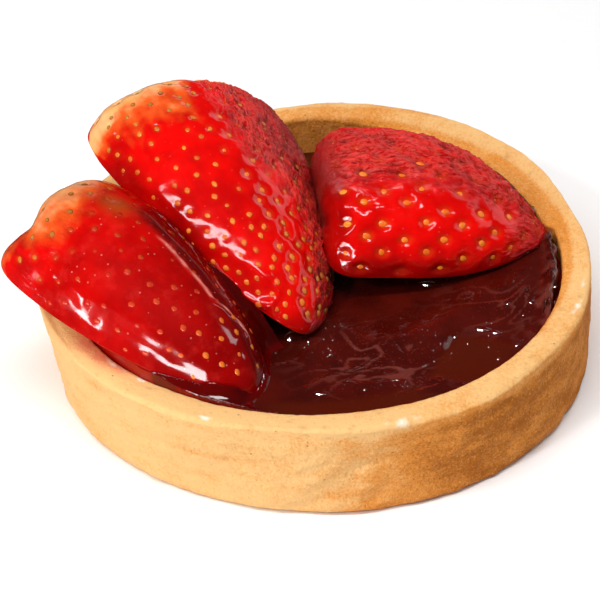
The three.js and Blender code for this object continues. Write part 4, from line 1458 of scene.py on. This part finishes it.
def strawberry_seed():
    """Seeds under the glaze: yellow to orange with a darker rim, partly painted shade where they meet the
    skin, dull ones brown, olive on pale skin, and red where they lie deep under the glaze."""
    material, t, shader = new_material("strawberry_seed")
    base = t.mix(t.attribute("tint"), opaque(SEED_YELLOW), opaque(SEED_ORANGE))
    grain = t.noise(2600.0, 2.0, 0.5)
    base = t.tint(base, t.ramp(grain, 0.35, 0.75), 0.3, SEED_GRAIN)
    dull, pale = t.attribute("dull"), t.attribute("pale")
    base = t.tint(base, dull, 0.75, SEED_DULL)
    base = t.tint(base, t.ramp(pale, 0.1, 0.6), 0.8, SEED_OLIVE)
    # A darker rim round each seed's base: partly its own outline, partly painted shade where it meets the
    # skin.
    rim = t.ramp(t.minus(t.attribute("height"), t.times(pale, 0.25)), 0.62, 0.20)
    rim = t.times(rim, t.plus(0.75, t.times(dull, 0.25)))
    base = t.mix(rim, base, opaque(SEED_RIM_AND_SHADE))
    t.fill(shader, {
        "Base Color": t.mix(t.attribute("dim"), base, opaque(SEED_GLAZED)), "Roughness": 0.24,
        "IOR": 1.42, "Normal": t.bump(grain, 0.15, 0.00008)})
    return material


def red_glaze():
    """Fruit glaze where it is thick: deep clear red, darker the thicker it is, very glossy."""
    material, t, shader = new_material("red_glaze")
    level = t.plus(t.attribute("thick"), t.times(t.minus(t.noise(220.0, 2.0, 0.5), 0.5), 0.3))
    t.fill(shader, {
        "Base Color": t.mix(t.ramp(level, 0.0, 0.8), opaque(GLAZE_THIN), opaque(GLAZE_THICK)),
        "Roughness": 0.05, "IOR": 1.42,
        "Normal": t.bump(t.noise(350.0, 2.0, 0.5), 0.10, 0.0001)})
    return material


def dress(piece, material):
    """Gives a piece its one material."""
    piece.data.materials.clear()
    piece.data.materials.append(material)


# Operators

class TARTLET_OT_case(bpy.types.Operator):
    """Build the pastry case"""
    bl_idname = "tartlet.case"
    bl_label = "Pastry case"

    def execute(self, context):
        settings = context.scene.tartlet_case
        dress(build_case(settings), shortcrust(settings))
        return {"FINISHED"}


class TARTLET_OT_filling(bpy.types.Operator):
    """Build the chocolate filling"""
    bl_idname = "tartlet.filling"
    bl_label = "Chocolate filling"

    def execute(self, context):
        settings = context.scene.tartlet_filling
        chocolate = dark_chocolate(settings)
        dress(build_filling(settings), chocolate)
        dress(build_bubbles(settings), chocolate)
        return {"FINISHED"}


class TARTLET_OT_strawberries(bpy.types.Operator):
    """Build the strawberry halves and their seeds"""
    bl_idname = "tartlet.strawberries"
    bl_label = "Strawberry halves"

    def execute(self, context):
        settings = context.scene.tartlet_berries
        skin, seed = strawberry_skin(settings), strawberry_seed()
        for name in BERRIES:
            dress(build_berry(name, settings), skin)
            dress(build_seeds(name), seed)
        return {"FINISHED"}


class TARTLET_OT_glaze(bpy.types.Operator):
    """Build the fruit glaze in the corners"""
    bl_idname = "tartlet.glaze"
    bl_label = "Fruit glaze"

    def execute(self, context):
        dress(build_glaze(context.scene.tartlet_glaze), red_glaze())
        return {"FINISHED"}


def area_light(name, azimuth, elevation, distance, width, height, radiance):
    """A soft panel that faces the tartlet. Azimuth 0 is in front and 90 on the right."""
    a, e = math.radians(azimuth), math.radians(elevation)
    towards = Vector((math.sin(a) * math.cos(e), -math.cos(a) * math.cos(e), math.sin(e)))
    data = bpy.data.lights.new(name, "AREA")
    data.shape = "RECTANGLE"
    data.size, data.size_y = width, height
    data.energy = math.pi * width * height * radiance
    light = bpy.data.objects.new(name, data)
    light.location = towards * distance + Vector(LIGHTS_AIM)
    light.rotation_mode = "QUATERNION"
    light.rotation_quaternion = (-towards).to_track_quat("-Z", "Y")
    light.visible_glossy = name not in NO_HIGHLIGHTS
    light.visible_diffuse = name not in HIGHLIGHTS_ONLY
    bpy.context.scene.collection.objects.link(light)
    return light


def light_only(light, pieces):
    """Keeps a light to the given pieces."""
    lit = bpy.data.collections.new("lit_by_" + light.name)
    for piece in pieces:
        lit.objects.link(piece)
    light.light_linking.receiver_collection = lit


def add_lights():
    """The lights, each at its place, and the pieces that some of them are kept to."""
    lights = {name: area_light(name, *values) for name, values in LIGHTS.items()}
    strip = lights["strip_above"]
    strip.location = Vector(STRIP_AT)
    strip.rotation_quaternion = Vector((0, 0, -1)).to_track_quat("-Z", "Y")
    pieces = [piece for piece in bpy.data.objects if piece.type == "MESH"]
    left = [piece for piece in pieces if piece.name.startswith("strawberry_left")]
    dry = [piece for piece in pieces if piece not in left and piece.name != "fruit_glaze"]
    lit = {
        "strip_above": dry, "panel_back_right": dry,
        "fill_for_left_strawberry": left, "glint_on_left_strawberry": left,
        "glint_on_right_strawberry": [bpy.data.objects["strawberry_right_flesh"]],
        "glint_on_glaze": [bpy.data.objects["fruit_glaze"]],
        "sparkle": [bpy.data.objects["chocolate_bubbles"]],
    }
    for name, chosen in lit.items():
        light_only(lights[name], chosen)


def add_floor(settings):
    """A wide pale floor that the tartlet stands on."""
    side = FLOOR_SIDE
    corners = np.array([(-side, -side, 0), (side, -side, 0), (side, side, 0), (-side, side, 0)])
    floor = make_mesh("floor", corners, [np.array([[0, 1, 2, 3]])])
    material, t, shader = new_material("pale_floor")
    t.fill(shader, {"Base Color": opaque(settings.floor), "Roughness": 0.9, "Specular IOR Level": 0.1})
    dress(floor, material)
    floor.visible_glossy = False


def add_camera(scene, lens):
    """The camera, turned so that its axes are right, up and their cross product, which points
    back from what it looks at."""
    data = bpy.data.cameras.new("camera")
    data.lens, data.sensor_width = lens, SENSOR_WIDTH
    data.clip_start, data.clip_end = CLIP_START, CLIP_END
    camera = bpy.data.objects.new("camera", data)
    right, up = Vector(CAMERA_RIGHT), Vector(CAMERA_UP)
    turn = Matrix((right, up, right.cross(up))).transposed().to_4x4()
    camera.matrix_world = Matrix.Translation(Vector(CAMERA_AT) * MM) @ turn
    scene.collection.objects.link(camera)
    scene.camera = camera


class TARTLET_OT_stage(bpy.types.Operator):
    """Build the floor, the lights and the camera"""
    bl_idname = "tartlet.stage"
    bl_label = "Stage"

    def execute(self, context):
        scene = context.scene
        add_floor(scene.tartlet_stage)
        scene.world = bpy.data.worlds.new("studio")
        scene.world.use_nodes = True
        background = scene.world.node_tree.nodes["Background"]
        background.inputs["Color"].default_value = (1, 1, 1, 1)
        background.inputs["Strength"].default_value = WORLD_STRENGTH
        add_lights()
        add_camera(scene, scene.tartlet_stage.lens)
        scene.view_settings.view_transform = "Standard"
        return {"FINISHED"}


class TARTLET_PT_panel(bpy.types.Panel):
    """Lists the tartlet's pieces"""
    bl_idname = "TARTLET_PT_panel"
    bl_label = "Tartlet"
    bl_space_type = "VIEW_3D"
    bl_region_type = "UI"
    bl_category = "Tartlet"

    def draw(self, context):
        """One button for each operator."""
        for operator in OPERATORS:
            self.layout.operator(operator.bl_idname)


SETTINGS = {
    "tartlet_case": CaseSettings,
    "tartlet_filling": FillingSettings,
    "tartlet_berries": BerrySettings,
    "tartlet_glaze": GlazeSettings,
    "tartlet_stage": StageSettings,
}
OPERATORS = (
    TARTLET_OT_case, TARTLET_OT_filling, TARTLET_OT_strawberries, TARTLET_OT_glaze,
    TARTLET_OT_stage)


def register():
    """Registers the settings, the operators and the panel."""
    for group in SETTINGS.values():
        bpy.utils.register_class(group)
    for operator in OPERATORS:
        bpy.utils.register_class(operator)
    bpy.utils.register_class(TARTLET_PT_panel)
    for name, group in SETTINGS.items():
        setattr(bpy.types.Scene, name, PointerProperty(type=group))


def unregister():
    """Takes them away again, in the opposite order."""
    for name in SETTINGS:
        delattr(bpy.types.Scene, name)
    bpy.utils.unregister_class(TARTLET_PT_panel)
    for operator in reversed(OPERATORS):
        bpy.utils.unregister_class(operator)
    for group in reversed(list(SETTINGS.values())):
        bpy.utils.unregister_class(group)


def main():
    """Builds every piece and the stage."""
    register()
    bpy.ops.tartlet.case()
    bpy.ops.tartlet.filling()
    bpy.ops.tartlet.strawberries()
    bpy.ops.tartlet.glaze()
    bpy.ops.tartlet.stage()


if __name__ == "__main__":
    main()
